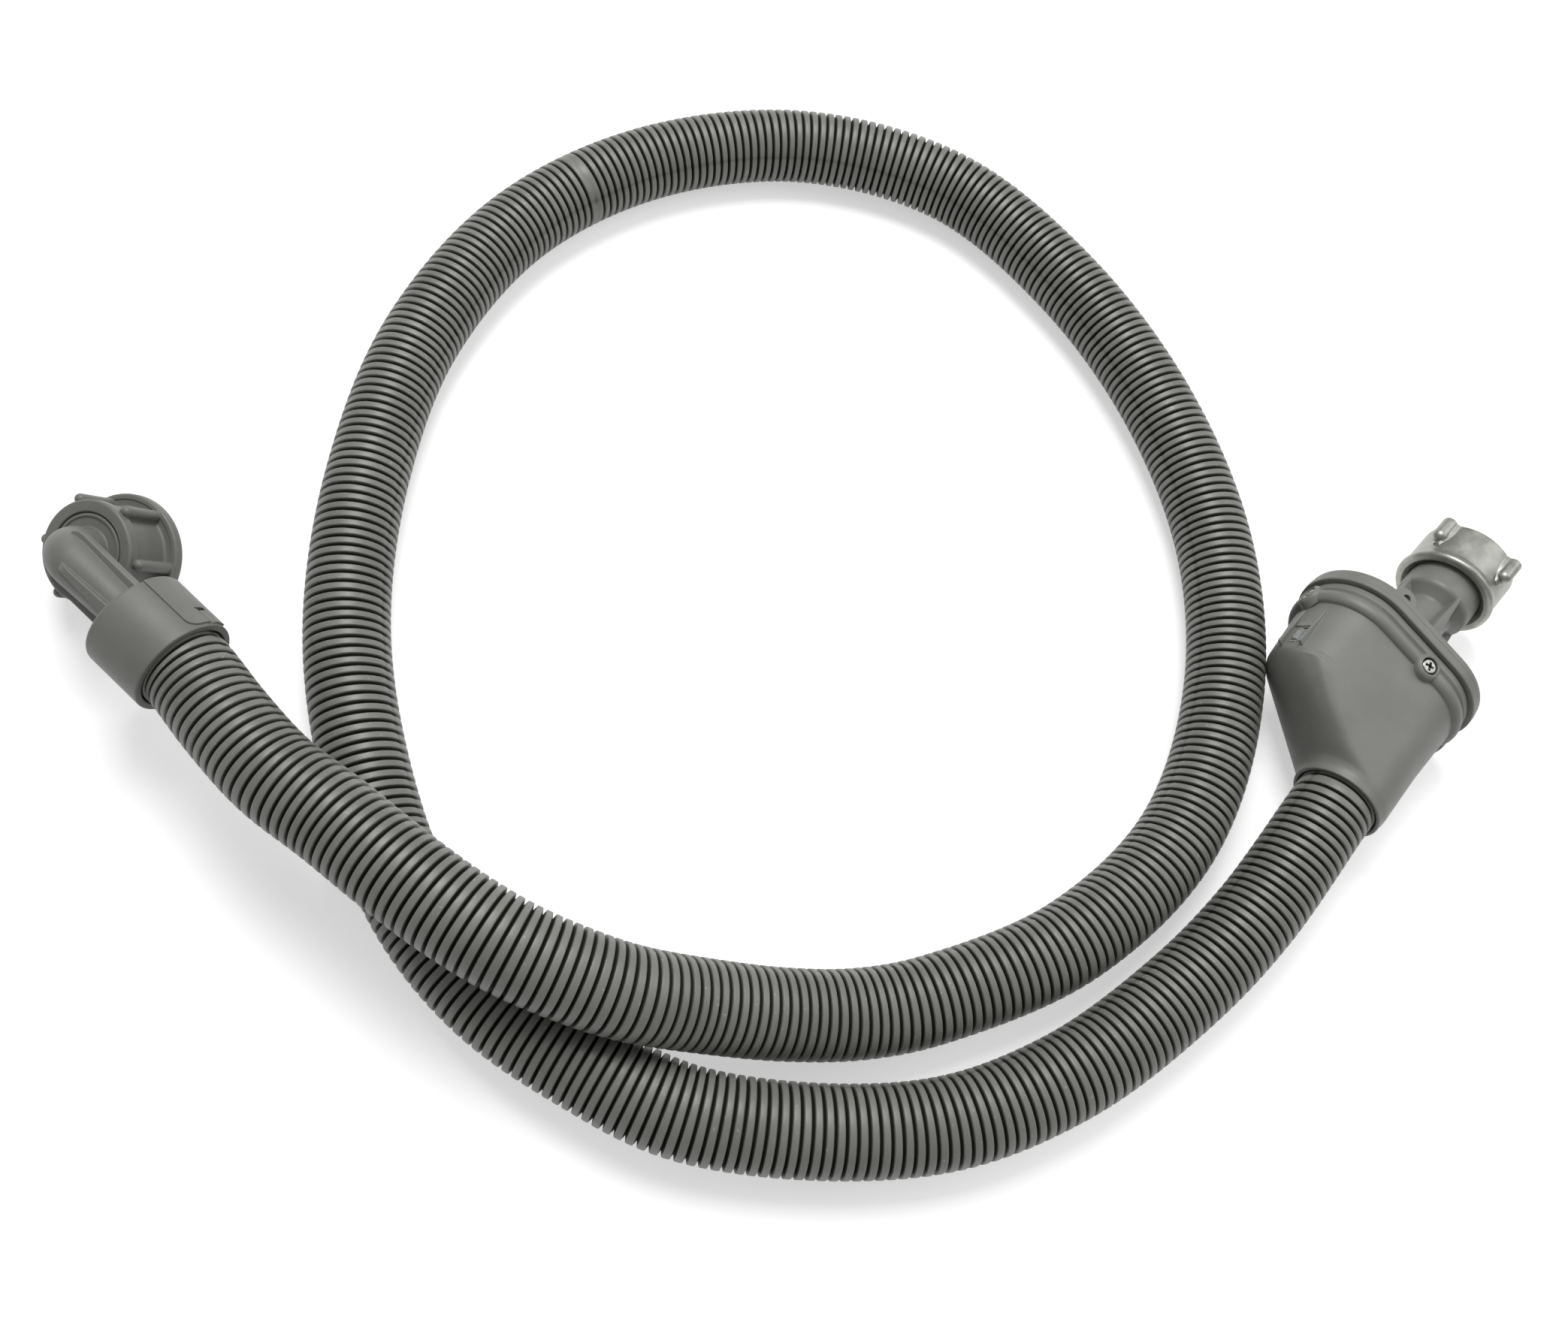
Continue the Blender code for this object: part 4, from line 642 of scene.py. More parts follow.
def outer_hose(finish):
    hose_stop = COLLAR_END - COLLAR_HOSE_DEPTH
    socket_stop = -SOCKET_DEPTH + SOCKET_HOSE_DEPTH
    knots = [
        OUTLET @ Vector((0.0, 0.0, hose_stop + FIT)),
        OUTLET @ Vector((0.0, 0.0, COLLAR_END + 2 * MM)),
        *[Vector(point) * MM for point in ROUTE_MM],
        VALVE @ Vector((-SOCKET_OFFSET, 0.0, -SOCKET_DEPTH - 2 * MM)),
        VALVE @ Vector((-SOCKET_OFFSET, 0.0, socket_stop - FIT)),
    ]
    spine, length = smooth_route(knots, ROUTE_SAMPLES)
    profile = hose_profile(length)
    along = np.linspace(0.0, length, len(spine))
    centre = np.column_stack([np.interp([p[0] for p in profile], along, spine[:, k]) for k in range(3)])
    tangent = np.gradient(centre, axis=0)
    tangent /= np.linalg.norm(tangent, axis=1)[:, None]
    side = np.cross(tangent, (0.0, 0.0, 1.0))
    side /= np.linalg.norm(side, axis=1)[:, None]
    up = np.cross(side, tangent)
    # A straight hose is spun about x, then each ring is set on the route
    bm = bmesh.new()
    verts = [bm.verts.new((i * MM, 0.0, radius)) for i, (_, radius, _) in enumerate(profile)]
    edges = [bm.edges.new(pair) for pair in zip(verts, verts[1:])]
    bmesh.ops.spin(bm, geom=verts + edges, cent=(0, 0, 0), axis=(1, 0, 0), angle=2 * math.pi,
                   steps=HOSE_SIDES, use_merge=True)
    share = bm.verts.layers.float.new("crest")
    half_side = 180.0 / HOSE_SIDES
    for vert in bm.verts:
        i = int(round(vert.co.x / MM))
        angle = math.degrees(math.atan2(vert.co.z, vert.co.y))
        radius, crest = profile[i][1:]
        gap = min(abs((angle - line + 180.0) % 360.0 - 180.0) for line in PARTING_LINES)
        # The seam's dip takes part of the grooves' painted shade through its lower crest share
        if gap < half_side and crest > 0.5:
            radius -= SEAM_DIP
            crest *= 0.75
        a = math.radians(angle)
        vert.co = centre[i] + radius * (math.cos(a) * side[i] + math.sin(a) * up[i])
        vert[share] = crest
    rims = [edge for edge in bm.edges if edge.is_boundary]
    bmesh.ops.holes_fill(bm, edges=rims, sides=0)
    bmesh.ops.recalc_face_normals(bm, faces=bm.faces)
    obj = piece("ribbed_hose", bm, Matrix.Identity(4), finish, "hose_grey", "hose", "outer_hose", sharp=50.0)


# Threads
def thread_rings(top, bottom):
    """Profile points of an internal thread as rings, from the top down."""
    points = []
    deep = THREAD_MAJOR - THREAD_SHORT
    z = top
    while z - THREAD_PITCH > bottom:
        ring = ((THREAD_MINOR, 0.0), (THREAD_MINOR, 0.3), (deep, 0.9), (deep, 1.1))
        points += [(radius, z - drop * MM) for radius, drop in ring]
        z -= THREAD_PITCH
    return points + [(THREAD_MINOR, z)]


# Appliance end
def appliance_nut(finish):
    lip_top = NUT_HEIGHT - NUT_RECESS_DEPTH
    lip_bottom = lip_top - NUT_LIP
    rim_bottom = NUT_HEIGHT - NUT_RIM_DEPTH
    soft = 0.9 * MM
    flange_top = NUT_FLANGE_THICKNESS
    profile = [
        (THREAD_MAJOR, 0.0),
        *arc((NUT_FLANGE - soft, soft), soft, -90.0, 0.0),
        *arc((NUT_FLANGE - soft, flange_top - soft), soft, 0.0, 90.0),
        (NUT_FLANGE - 1.7 * MM, flange_top),
        (NUT_FLANGE - 2.0 * MM, flange_top - 0.35 * MM),
        (NUT_BODY + soft, flange_top - 0.35 * MM),
        *arc((NUT_BODY + soft, flange_top - 0.35 * MM + soft), soft, -90.0, -180.0),
        (NUT_BODY, rim_bottom - 0.5 * MM),
        (NUT_RIM, rim_bottom + 0.3 * MM),
        *arc((NUT_RIM - soft, NUT_HEIGHT - soft), soft, 0.0, 90.0),
        *arc((NUT_RECESS + 0.4 * MM, NUT_HEIGHT - 0.4 * MM), 0.4 * MM, 90.0, 180.0, 3),
        (NUT_RECESS, lip_top),
        (ELBOW_NECK + FIT, lip_top),
        (ELBOW_NECK + FIT, lip_bottom),
        (THREAD_MINOR, lip_bottom),
        *thread_rings(lip_bottom - 1.0 * MM, 1.0 * MM),
    ]
    bars = []
    for number in range(GRIP_COUNT):
        spot = turn(GRIP_PHASE + 360.0 * number / GRIP_COUNT)
        centre = GRIP_REACH - GRIP_RADIUS
        bar = rod(GRIP_RADIUS, flange_top * 0.4, NUT_HEIGHT - 1.5 * MM, GRIP_RADIUS * 0.95, 24)
        web = box((NUT_BODY - 1.0 * MM, -GRIP_RADIUS * 0.86, flange_top * 0.6),
                  (centre, GRIP_RADIUS * 0.86, NUT_HEIGHT - 2.3 * MM))
        bars.append(add(placed(bar, spot @ shift(centre, 0.0, 0.0)), placed(web, spot)))
    shape = add(lathe(profile, 100), *bars)
    piece("plastic_union_nut", shape, ELBOW, finish, "grey_plastic", "appliance_nut", "appliance_nut")


def elbow_body(finish):
    lip_top = NUT_HEIGHT - NUT_RECESS_DEPTH
    flange_top = lip_top - NUT_LIP - FIT
    flange_bottom = flange_top - ELBOW_FLANGE
    plug_start = COLLAR_START + COLLAR_WALL + FIT
    rim_top = lip_top + DISC_HEIGHT
    disc_face = rim_top - DISC_HOLLOW
    neck = lathe([
        (0.0, flange_bottom),
        (THREAD_MINOR - FIT, flange_bottom),
        (THREAD_MINOR - FIT, flange_top),
        (ELBOW_NECK, flange_top),
        (ELBOW_NECK, lip_top + FIT / 2),
        (DISC_RADIUS, lip_top + FIT / 2),
        *arc((DISC_RADIUS - 0.25 * MM, rim_top - 0.25 * MM), 0.25 * MM, 0.0, 90.0, 3),
        (DISC_RADIUS - DISC_RIM, rim_top),
        (DISC_RADIUS - DISC_RIM - 0.2 * MM, disc_face),
        (0.0, disc_face),
    ])

    def ring(x, z, angle, radius, sides=64):
        turns = [2 * math.pi * i / sides for i in range(sides)]
        return [(x + radius * math.cos(t) * math.cos(angle), radius * math.sin(t),
                 z - radius * math.cos(t) * math.sin(angle)) for t in turns]

    def bent(radius, bottom, end, narrow=0.0, steps=18):
        """The bend from the nut to the outlet, narrower at the collar if asked."""
        rings = [ring(0.0, bottom, 0.0, radius)]
        for i in range(steps + 1):
            a = math.pi / 2 * i / steps
            x = ELBOW_BEND * (1 - math.cos(a))
            z = ELBOW_RISE - ELBOW_BEND * (1 - math.sin(a))
            rings.append(ring(x, z, a, radius))
        if narrow:
            rings += [ring(COLLAR_START + x, ELBOW_RISE, math.pi / 2, narrow) for x in (-MM, MM)]
        return grown(rings + [ring(end, ELBOW_RISE, math.pi / 2, radius)])

    tube = bent(ELBOW_TUBE, lip_top - MM, plug_start + MM, ELBOW_ARM)
    foot = lathe([
        (0.0, disc_face - 0.5 * MM),
        (ELBOW_TUBE + 0.5 * MM, disc_face),
        *arc((ELBOW_TUBE + 0.5 * MM, disc_face + 0.5 * MM), 0.5 * MM, -90.0, -180.0),
        (0.0, disc_face + 1.0 * MM),
    ])
    shape = add(neck, foot, tube)
    ribs = []
    to_outlet = shift(0.0, 0.0, ELBOW_RISE) @ turn(90.0, "Y")
    corner = RIB_REACH - ELBOW_TUBE * 0.9
    for angle, start in RIB_STARTS:
        outline = [(ELBOW_TUBE * 0.5, start)]
        outline += [(RIB_REACH - corner + corner * math.sin(a), start + 2 * corner * (1 - math.cos(a)))
                    for a in [math.pi / 2 * i / 6 for i in range(7)]]
        outline += [(RIB_REACH, COLLAR_START - FIT), (ELBOW_TUBE * 0.5, COLLAR_START - FIT)]
        # The middle rib starts narrow
        tip = 0.6 if angle == 180.0 else 1.0
        half = [RIB_WIDTH / 2 * (tip if z < start + 2 * corner else 1.0) for _, z in outline]
        rib = grown([[(x, side * y, z) for y, (x, z) in zip(half, outline)] for side in (-1, 1)])
        long_edges = [e for e in rib.edges if all(v.co.x > RIB_REACH - 1e-6 for v in e.verts)
                      and e.verts[0].co.y * e.verts[1].co.y > 0.0]
        bmesh.ops.bevel(rib, geom=long_edges, offset=0.35 * MM, affect="EDGES", segments=2, profile=0.5,
                        material=-1)
        ribs.append(placed(rib, to_outlet @ turn(angle)))
    shape = add(shape, *ribs)
    barb_radius = BARB_RADIUS - FIT
    plug_end = plug_start + PLUG_LENGTH
    barb_end = plug_end + BARB_LENGTH
    plug = lathe([
        (0.0, plug_start),
        (COLLAR_POCKET - FIT, plug_start),
        (COLLAR_POCKET - FIT, plug_end),
        (barb_radius, plug_end),
        (barb_radius, barb_end - MM),
        (barb_radius - 0.6 * MM, barb_end),
        (0.0, barb_end),
    ])
    shape = add(shape, placed(plug, to_outlet))
    inner = bent(ELBOW_BORE, flange_bottom - MM, COLLAR_START)
    barb = placed(rod(BARB_BORE, COLLAR_START - MM, barb_end + MM), to_outlet)
    shape = cut(shape, inner, barb)
    piece("elbow", shape, ELBOW, finish, "grey_plastic", "hose", "elbow_body")


def hose_collar(finish):
    hose_stop = COLLAR_END - COLLAR_HOSE_DEPTH
    soft = 1.2 * MM
    lip = 0.5 * MM
    shape = lathe([
        (ELBOW_TUBE + FIT, COLLAR_START),
        *arc((COLLAR_RADIUS - soft, COLLAR_START + soft), soft, -90.0, 0.0),
        *arc((COLLAR_RADIUS - lip, COLLAR_END - lip), lip, 0.0, 90.0, 4),
        (HOSE_RADIUS + FIT + 0.4 * MM, COLLAR_END),
        (HOSE_RADIUS + FIT, COLLAR_END - 0.6 * MM),
        (HOSE_RADIUS + FIT, hose_stop),
        (COLLAR_POCKET, hose_stop),
        (COLLAR_POCKET, COLLAR_START + COLLAR_WALL),
        (ELBOW_TUBE + FIT, COLLAR_START + COLLAR_WALL),
    ], 128)
    # Raised pad: a patch of a slightly larger ring with rounded corners at its far end
    pad_start, pad_end = COLLAR_START + soft * 0.6, COLLAR_START + PAD_LENGTH
    half = math.radians(PAD_ANGLE / 2)
    outline = [(-half, pad_start), (half, pad_start)]
    for side, angles in ((1, range(0, 91, 15)), (-1, range(90, -1, -15))):
        for degrees in angles:
            a = math.radians(degrees)
            across = half - PAD_CORNER * (1 - math.cos(a)) / COLLAR_RADIUS
            outline.append((side * across, pad_end - PAD_CORNER * (1 - math.sin(a))))
    patch = bmesh.new()
    patch.faces.new([patch.verts.new((a, z, 0.0)) for a, z in outline])
    for i in range(1, PAD_CUTS):
        bmesh.ops.bisect_plane(patch, geom=patch.verts[:] + patch.edges[:] + patch.faces[:],
                               plane_co=(-half + 2 * half * i / PAD_CUTS, 0, 0), plane_no=(1, 0, 0))
    for item in bmesh.ops.extrude_face_region(patch, geom=patch.faces[:])["geom"]:
        if isinstance(item, bmesh.types.BMVert):
            item.co.z = 1.0
    for vert in patch.verts:
        radius = COLLAR_RADIUS + PAD_HEIGHT if vert.co.z > 0.5 else COLLAR_RADIUS - MM
        a, z = vert.co.x, vert.co.y
        vert.co = (radius * math.cos(a), radius * math.sin(a), z)
    bmesh.ops.recalc_face_normals(patch, faces=patch.faces)
    shape = add(shape, placed(patch, turn(90.0)))
    slot_start = COLLAR_START + PAD_LENGTH - SLOT_INSET
    outer = COLLAR_RADIUS + 2 * PAD_HEIGHT
    half_slot, slot_end = SLOT_WIDTH / 2, slot_start + SLOT_LENGTH
    corners = ((-half_slot, slot_start), (half_slot, slot_start),
               (half_slot - SLOT_TAPER, slot_end), (SLOT_TAPER - half_slot, slot_end))
    slot = grown([[(x, y, z) for y, z in corners] for x in (COLLAR_RADIUS - 2.2 * MM, outer)])
    slits = []
    for side in (-1, 1):
        y = side * (half_slot - 0.8 * MM)
        slits.append(box((COLLAR_RADIUS - 0.9 * MM, y - 0.2 * MM, slot_start + SLOT_LENGTH * 0.8),
                         (outer, y + 0.2 * MM, COLLAR_END + MM)))
    shape = cut(shape, *[placed(tool, turn(90.0)) for tool in (slot, *slits)])
    half_nose = half_slot - 1.3 * MM
    nose = box((COLLAR_RADIUS - MM, -half_nose, COLLAR_END - 2.6 * MM),
               (COLLAR_RADIUS + 0.55 * MM, half_nose, COLLAR_END - 0.5 * MM), 0.3 * MM)
    shape = add(shape, placed(nose, turn(90.0)))
    piece("collar", shape, OUTLET, finish, "grey_plastic", "hose", "hose_collar")


def seal_washer(name, node, place, low, finish):
    soft = 0.3 * MM
    outer = THREAD_MINOR - FIT
    high = low + WASHER_THICKNESS
    corners = ((WASHER_HOLE + soft, low + soft, -180.0), (outer - soft, low + soft, -90.0),
               (outer - soft, high - soft, 0.0), (WASHER_HOLE + soft, high - soft, 90.0))
    shape = lathe([point for x, z, start in corners for point in arc((x, z), soft, start, start + 90.0, 3)])
    piece(name, shape, place, finish, "black_rubber", "hose", node)


# Valve end
left_centre = BODY_LEFT - BODY_TOP
right_centre = BODY_TOP - BODY_RIGHT
shoulder_left = SHOULDER_LEFT - SHOULDER_RADIUS
shoulder_right = SHOULDER_RADIUS - BODY_RIGHT
Z_TO_X = turn(90.0, "Y")
SCREW_SEATS = [
    ("cover_screw_1", 90.0, SEAM_RADIUS, -SCREW_TOP_OFFSET, 0.0),
    ("cover_screw_2", 0.0, SEAM_LEFT + SEAM_RADIUS, 0.0, SCREW_SIDE_OFFSET),
    ("cover_screw_3", -90.0, SEAM_RADIUS, -SCREW_TOP_OFFSET, 0.0),
    ("cover_screw_4", 180.0, SEAM_RIGHT + SEAM_RADIUS, 0.0, -SCREW_SIDE_OFFSET),
]


def screw_places():
    """(node, place, boss face, head seat) of each cover screw; z of the place runs out of the housing."""
    for name, angle, reach, along, across in SCREW_SEATS:
        place = shift(along, across, -SCREW_DEPTH) @ turn(angle) @ Z_TO_X
        face = reach + BOSS_HEIGHT
        yield name, place, face, face - SCREW_RECESS - SCREW_HEAD_HEIGHT


def screw_hole(seat, place):
    return placed(rod(SCREW_SHANK + FIT, seat - SCREW_LENGTH - MM, seat + MM, steps=24), place)


def between(first, second, share):
    return [a * (1 - share) + b * share for a, b in zip(first, second)]


def eased(before, corner, after, t):
    """On the way from before to after, rounding the corner."""
    return between(between(before, corner, t), between(corner, after, t), t)


def valve_housing(finish):
    top = (left_centre, right_centre, BODY_TOP, -BEAD_BOTTOM)
    shoulder = (shoulder_left, shoulder_right, SHOULDER_RADIUS, -SHOULDER_DEPTH)
    end = (-SOCKET_OFFSET + 0.1 * MM, -SOCKET_OFFSET - 0.1 * MM, CONE_RADIUS, -CONE_DEPTH)
    sections = [(SEAM_LEFT, -SEAM_RIGHT, SEAM_RADIUS - inward, z) for inward, z in (
        (0.35 * MM, 0.0), (0.1 * MM, -0.15 * MM), (0.0, -0.5 * MM),
        (0.0, -BEAD_TOP + 1.0 * MM), (0.5 * MM, -BEAD_TOP + 0.4 * MM),
    )]
    middle, tall = (BEAD_TOP + BEAD_BOTTOM) / 2, (BEAD_BOTTOM - BEAD_TOP) / 2
    for i in range(9):
        a = math.radians(170.0 - 160.0 * i / 8)
        bulge = BEAD_RADIUS + 0.2 * MM - BEAD_ROUND * (1 - math.sin(a))
        sections.append((SEAM_LEFT, -SEAM_RIGHT, bulge, -middle - tall * math.cos(a) * 0.98))
    sections += [between(top, shoulder, share) for share in (0.0, 0.02, 0.2, 0.4, 0.6, 0.8)]
    # The shoulder's crease is rounded over a few millimetres, and a fold runs from it to the socket
    before, after = between(top, shoulder, 0.95), between(shoulder, end, 0.05)
    for t in [i / 6 for i in range(7)]:
        sections.append((*eased(before, shoulder, after, t), 1.0 - 0.25 * t))
    sections += [(*between(shoulder, end, share), fold) for share, fold in FOLD]
    socket_round = (-SOCKET_OFFSET + 0.1 * MM, -SOCKET_OFFSET - 0.1 * MM)
    before, after = between(shoulder, end, 0.93), (*socket_round, SOCKET_RADIUS, -CONE_DEPTH - 1.6 * MM)
    sections += [eased(before, end, after, i / 4) for i in range(5)]
    sections += [
        (*socket_round, SOCKET_RADIUS, -SOCKET_DEPTH + 0.5 * MM),
        (*socket_round, SOCKET_RADIUS - 0.15 * MM, -SOCKET_DEPTH + 0.15 * MM),
        (*socket_round, SOCKET_RADIUS - 0.5 * MM, -SOCKET_DEPTH),
    ]
    shape = grown([oval(*section) for section in sections])
    bosses = []
    for _, place, face, _ in screw_places():
        bosses.append(placed(lathe([
            (0.0, face - BOSS_SINK),
            (BOSS_RADIUS + 0.7 * MM, face - BOSS_SINK),
            *arc((BOSS_RADIUS - 1.4 * MM, face - BOSS_ROUND), BOSS_ROUND, 0.0, 90.0, 8),
            (0.0, face),
        ], 48), place))
    shape = add(shape, *bosses)
    cavity_radius = SEAM_RADIUS - HOUSING_WALL
    floor_share = (FLOOR_DEPTH - SHOULDER_DEPTH) / (CONE_DEPTH - SHOULDER_DEPTH)
    floor = between(shoulder, end, floor_share)
    cavity = grown([oval(*section) for section in (
        (SEAM_LEFT, -SEAM_RIGHT, cavity_radius, MM),
        (SEAM_LEFT, -SEAM_RIGHT, cavity_radius, -SKIRT_DEPTH - 0.6 * MM),
        (left_centre, right_centre, BODY_TOP - HOUSING_WALL, -SKIRT_DEPTH - 1.4 * MM),
        (shoulder_left, shoulder_right, SHOULDER_RADIUS - HOUSING_WALL, -SHOULDER_DEPTH),
        (floor[0], floor[1], floor[2] - HOUSING_WALL, -FLOOR_DEPTH),
    )])
    socket_spot = shift(-SOCKET_OFFSET, 0.0, 0.0)
    socket_stop = -SOCKET_DEPTH + SOCKET_HOSE_DEPTH
    room = HOSE_RADIUS + FIT
    mouth = lathe([
        (0.0, -SOCKET_DEPTH - MM),
        (room + 0.5 * MM, -SOCKET_DEPTH - MM),
        (room + 0.5 * MM, -SOCKET_DEPTH),
        (room, -SOCKET_DEPTH + 0.6 * MM),
        (room, socket_stop),
        (0.0, socket_stop),
    ])
    passage = rod(PASSAGE_RADIUS, socket_stop - MM, -FLOOR_DEPTH + MM)
    shape = cut(shape, cavity, placed(mouth, socket_spot), placed(passage, socket_spot))
    holes = []
    room = SCREW_HEAD + FIT
    for _, place, face, seat in screw_places():
        holes.append(placed(lathe([
            (0.0, seat),
            (room, seat),
            (room, face - 0.3 * MM),
            (room + 0.35 * MM, face + 0.1 * MM),
            (room + 0.35 * MM, face + MM),
            (0.0, face + MM),
        ], 48), place))
        holes.append(screw_hole(seat, place))
    shape = cut(shape, *holes)
    shape = add(shape, *window_frame())
    shape = cut(shape, window_opening())
    piece("valve_shell", shape, VALVE, finish, "grey_plastic", "hose", "valve_housing", sharp=30.0)


window_middle = WINDOW_TOP + WINDOW_LENGTH / 2
wall_taper = (BODY_TOP - SHOULDER_RADIUS) / (SHOULDER_DEPTH - BEAD_BOTTOM)
wall_face = BODY_TOP - wall_taper * (window_middle - BEAD_BOTTOM)
WINDOW_PLACE = shift(left_centre, 0.0, 0.0) @ turn(WINDOW_ANGLE)


def window_frame():
    """Two rails and the wedge above the window."""
    shapes = []
    for side in (-1, 1):
        across = side * RAIL_OFFSET
        rail = box((wall_face - 2 * MM, across - RAIL_WIDTH / 2, -RAIL_TOP - RAIL_LENGTH),
                   (wall_face + RAIL_HEIGHT, across + RAIL_WIDTH / 2, -RAIL_TOP), 0.22 * MM)
        shapes.append(placed(rail, WINDOW_PLACE))
    inside = RAIL_OFFSET - RAIL_WIDTH / 2 - 0.35 * MM
    foot = -WINDOW_TOP + 0.8 * MM
    wedge = grown([
        [(x, side * inside, z) for x, z in (
            (wall_face - 2 * MM, -RAIL_TOP - 1.0 * MM),
            (wall_face + 0.2 * MM, -RAIL_TOP - 1.0 * MM),
            (wall_face + RAIL_HEIGHT * 0.5, foot),
            (wall_face - 2 * MM, foot),
        )] for side in (-1, 1)
    ])
    shapes.append(placed(wedge, WINDOW_PLACE))
    return shapes


def window_opening():
    half, bottom = WINDOW_WIDTH / 2 + FIT, -WINDOW_TOP - WINDOW_LENGTH - FIT
    return placed(box((wall_face - HOUSING_WALL - 2 * MM, -half, bottom),
                      (wall_face + 3 * MM, half, -WINDOW_TOP + FIT)), WINDOW_PLACE)


def sight_window(finish):
    """Clear block with a round lens along its face, which gives it its glints."""
    low_z, high_z = -WINDOW_TOP - WINDOW_LENGTH, -WINDOW_TOP
    shape = box((wall_face - WINDOW_THICKNESS, -WINDOW_WIDTH / 2, low_z),
                (wall_face, WINDOW_WIDTH / 2, high_z), 0.2 * MM)
    lens = rod(WINDOW_WIDTH * 0.42, low_z + 0.4 * MM, high_z - 0.4 * MM, 0.6 * MM, 32)
    shape = add(shape, placed(lens, shift(wall_face - 0.4 * MM, 0.0, 0.0)))
    piece("clear_window", shape, VALVE @ WINDOW_PLACE, finish, "clear_plastic", "hose", "sight_window")


def valve_cover(finish):
    skirt = SEAM_RADIUS - HOUSING_WALL - FIT
    groove = skirt - GASKET_WIDTH - FIT
    gasket_low = -GASKET_DEPTH - GASKET_HEIGHT
    top = FIT + COVER_THICKNESS
    soft = 0.9 * MM
    step = top - COVER_STEP
    plate = top - 0.3 * MM
    sections = [
        (skirt - 0.5 * MM, -SKIRT_DEPTH),
        (skirt, -SKIRT_DEPTH + 0.5 * MM),
        (skirt, gasket_low - FIT),
        (groove, gasket_low - FIT),
        (groove, -GASKET_DEPTH + FIT),
        (skirt, -GASKET_DEPTH + FIT),
        (skirt, FIT),
        *arc((COVER_RADIUS - 0.5 * MM, FIT + 0.5 * MM), 0.5 * MM, -90.0, 0.0, 4),
        (COVER_RADIUS, step - 0.3 * MM),
        (COVER_RADIUS - 0.45 * MM, step),
        (COVER_RADIUS - 0.25 * MM, step + 0.3 * MM),
        *arc((COVER_RADIUS - 0.25 * MM - soft, top - soft), soft, 0.0, 90.0),
        (COVER_RADIUS - 2.6 * MM, top),
        (COVER_RADIUS - 2.9 * MM, plate),
    ]
    shape = grown([oval(SEAM_LEFT, -SEAM_RIGHT, radius, z) for radius, z in sections])
    lip_bottom = METAL_BOTTOM + METAL_MOUTH_DEPTH
    lip_top = lip_bottom + METAL_LIP
    clip_high = lip_top + FIT + CLIP_THICKNESS
    clip_groove = NECK_NOSE - CLIP_GROOVE_DEPTH
    foot = STEM_RADIUS + STEM_FILLET
    stem = lathe([
        (0.0, plate - MM),
        (foot, plate - MM),
        (foot, plate),
        *arc((foot, plate + STEM_FILLET), STEM_FILLET, -90.0, -180.0),
        (STEM_RADIUS, STEM_TOP - 3.0 * MM),
        (STEM_RADIUS + 0.5 * MM, STEM_TOP - 1.6 * MM),
        *arc((NECK_RADIUS - 3.0 * MM, STEM_TOP + NECK_CONE), 3.0 * MM, -50.0, 0.0, 6),
        (NECK_RADIUS, lip_top),
        (NECK_NOSE, lip_top),
        (NECK_NOSE, lip_top + FIT / 3),
        (clip_groove, lip_top + FIT / 3),
        (clip_groove, clip_high + FIT),
        (NECK_NOSE, clip_high + FIT),
        (NECK_NOSE, NECK_TOP - 0.5 * MM),
        (NECK_NOSE - 0.5 * MM, NECK_TOP),
        (0.0, NECK_TOP),
    ])
    outlines = []
    high = STEM_TOP + NECK_CONE + 1.0 * MM
    inner = STEM_RADIUS - 2 * MM
    for share in (0.0, 0.04, 0.12, 0.3, 0.6, 1.0):
        z = plate - MM + (high - plate + MM) * share
        flare = STEM_FILLET * max(0.0, 1 - share / 0.12) ** 2
        outer = GUSSET_REACH + (NECK_RADIUS - 0.1 * MM - GUSSET_REACH) * share + flare
        half = (GUSSET_FOOT * (1 - share) + GUSSET_TIP * share) / 2 + flare
        chamfer = min(half * 0.45, 0.7 * MM)
        outlines.append([(inner, -half, z), (outer - chamfer, -half, z), (outer, -half + chamfer, z),
                         (outer, half - chamfer, z), (outer - chamfer, half, z), (inner, half, z)])
    ribs = [placed(grown(outlines), turn(GUSSET_PHASE + 360.0 * number / GUSSET_COUNT))
            for number in range(GUSSET_COUNT)]
    ear_spot = shift(EAR_ALONG, EAR_ACROSS, top + EAR_LIFT) @ turn(90.0, "X")
    half = EAR_THICKNESS / 2
    ear = lathe([
        (0.0, -half),
        *arc((EAR_RADIUS - 0.5 * MM, 0.5 * MM - half), 0.5 * MM, -90.0, 0.0, 3),
        *arc((EAR_RADIUS - 0.5 * MM, half - 0.5 * MM), 0.5 * MM, 0.0, 90.0, 3),
        (0.0, half),
    ], 56)
    shape = add(shape, stem, placed(ear, ear_spot), *ribs)
    hollow = grown([oval(SEAM_LEFT, -SEAM_RIGHT, skirt - SKIRT_WALL, z)
                    for z in (-SKIRT_DEPTH - MM, top - COVER_PLATE)])
    ear_hole = placed(rod(EAR_HOLE, -EAR_THICKNESS, EAR_THICKNESS, steps=32),
                      shift(0.0, 0.0, EAR_HOLE_RISE - EAR_LIFT) @ ear_spot)
    strainer_seat = NECK_TOP - STRAINER_FLANGE_HEIGHT - FIT
    bores = [
        rod(STEM_BORE, -MM, NECK_TOP),
        rod(NECK_BORE, NECK_TOP - NECK_BORE_DEPTH, NECK_TOP + MM),
        rod(STRAINER_FLANGE + FIT, strainer_seat, NECK_TOP + MM),
    ]
    threads = [screw_hole(seat, place) for _, place, _, seat in screw_places()]
    shape = cut(shape, hollow, ear_hole, *bores, *threads)
    piece("cover_and_stem", shape, VALVE, finish, "grey_plastic", "hose", "valve_cover", sharp=32.0)


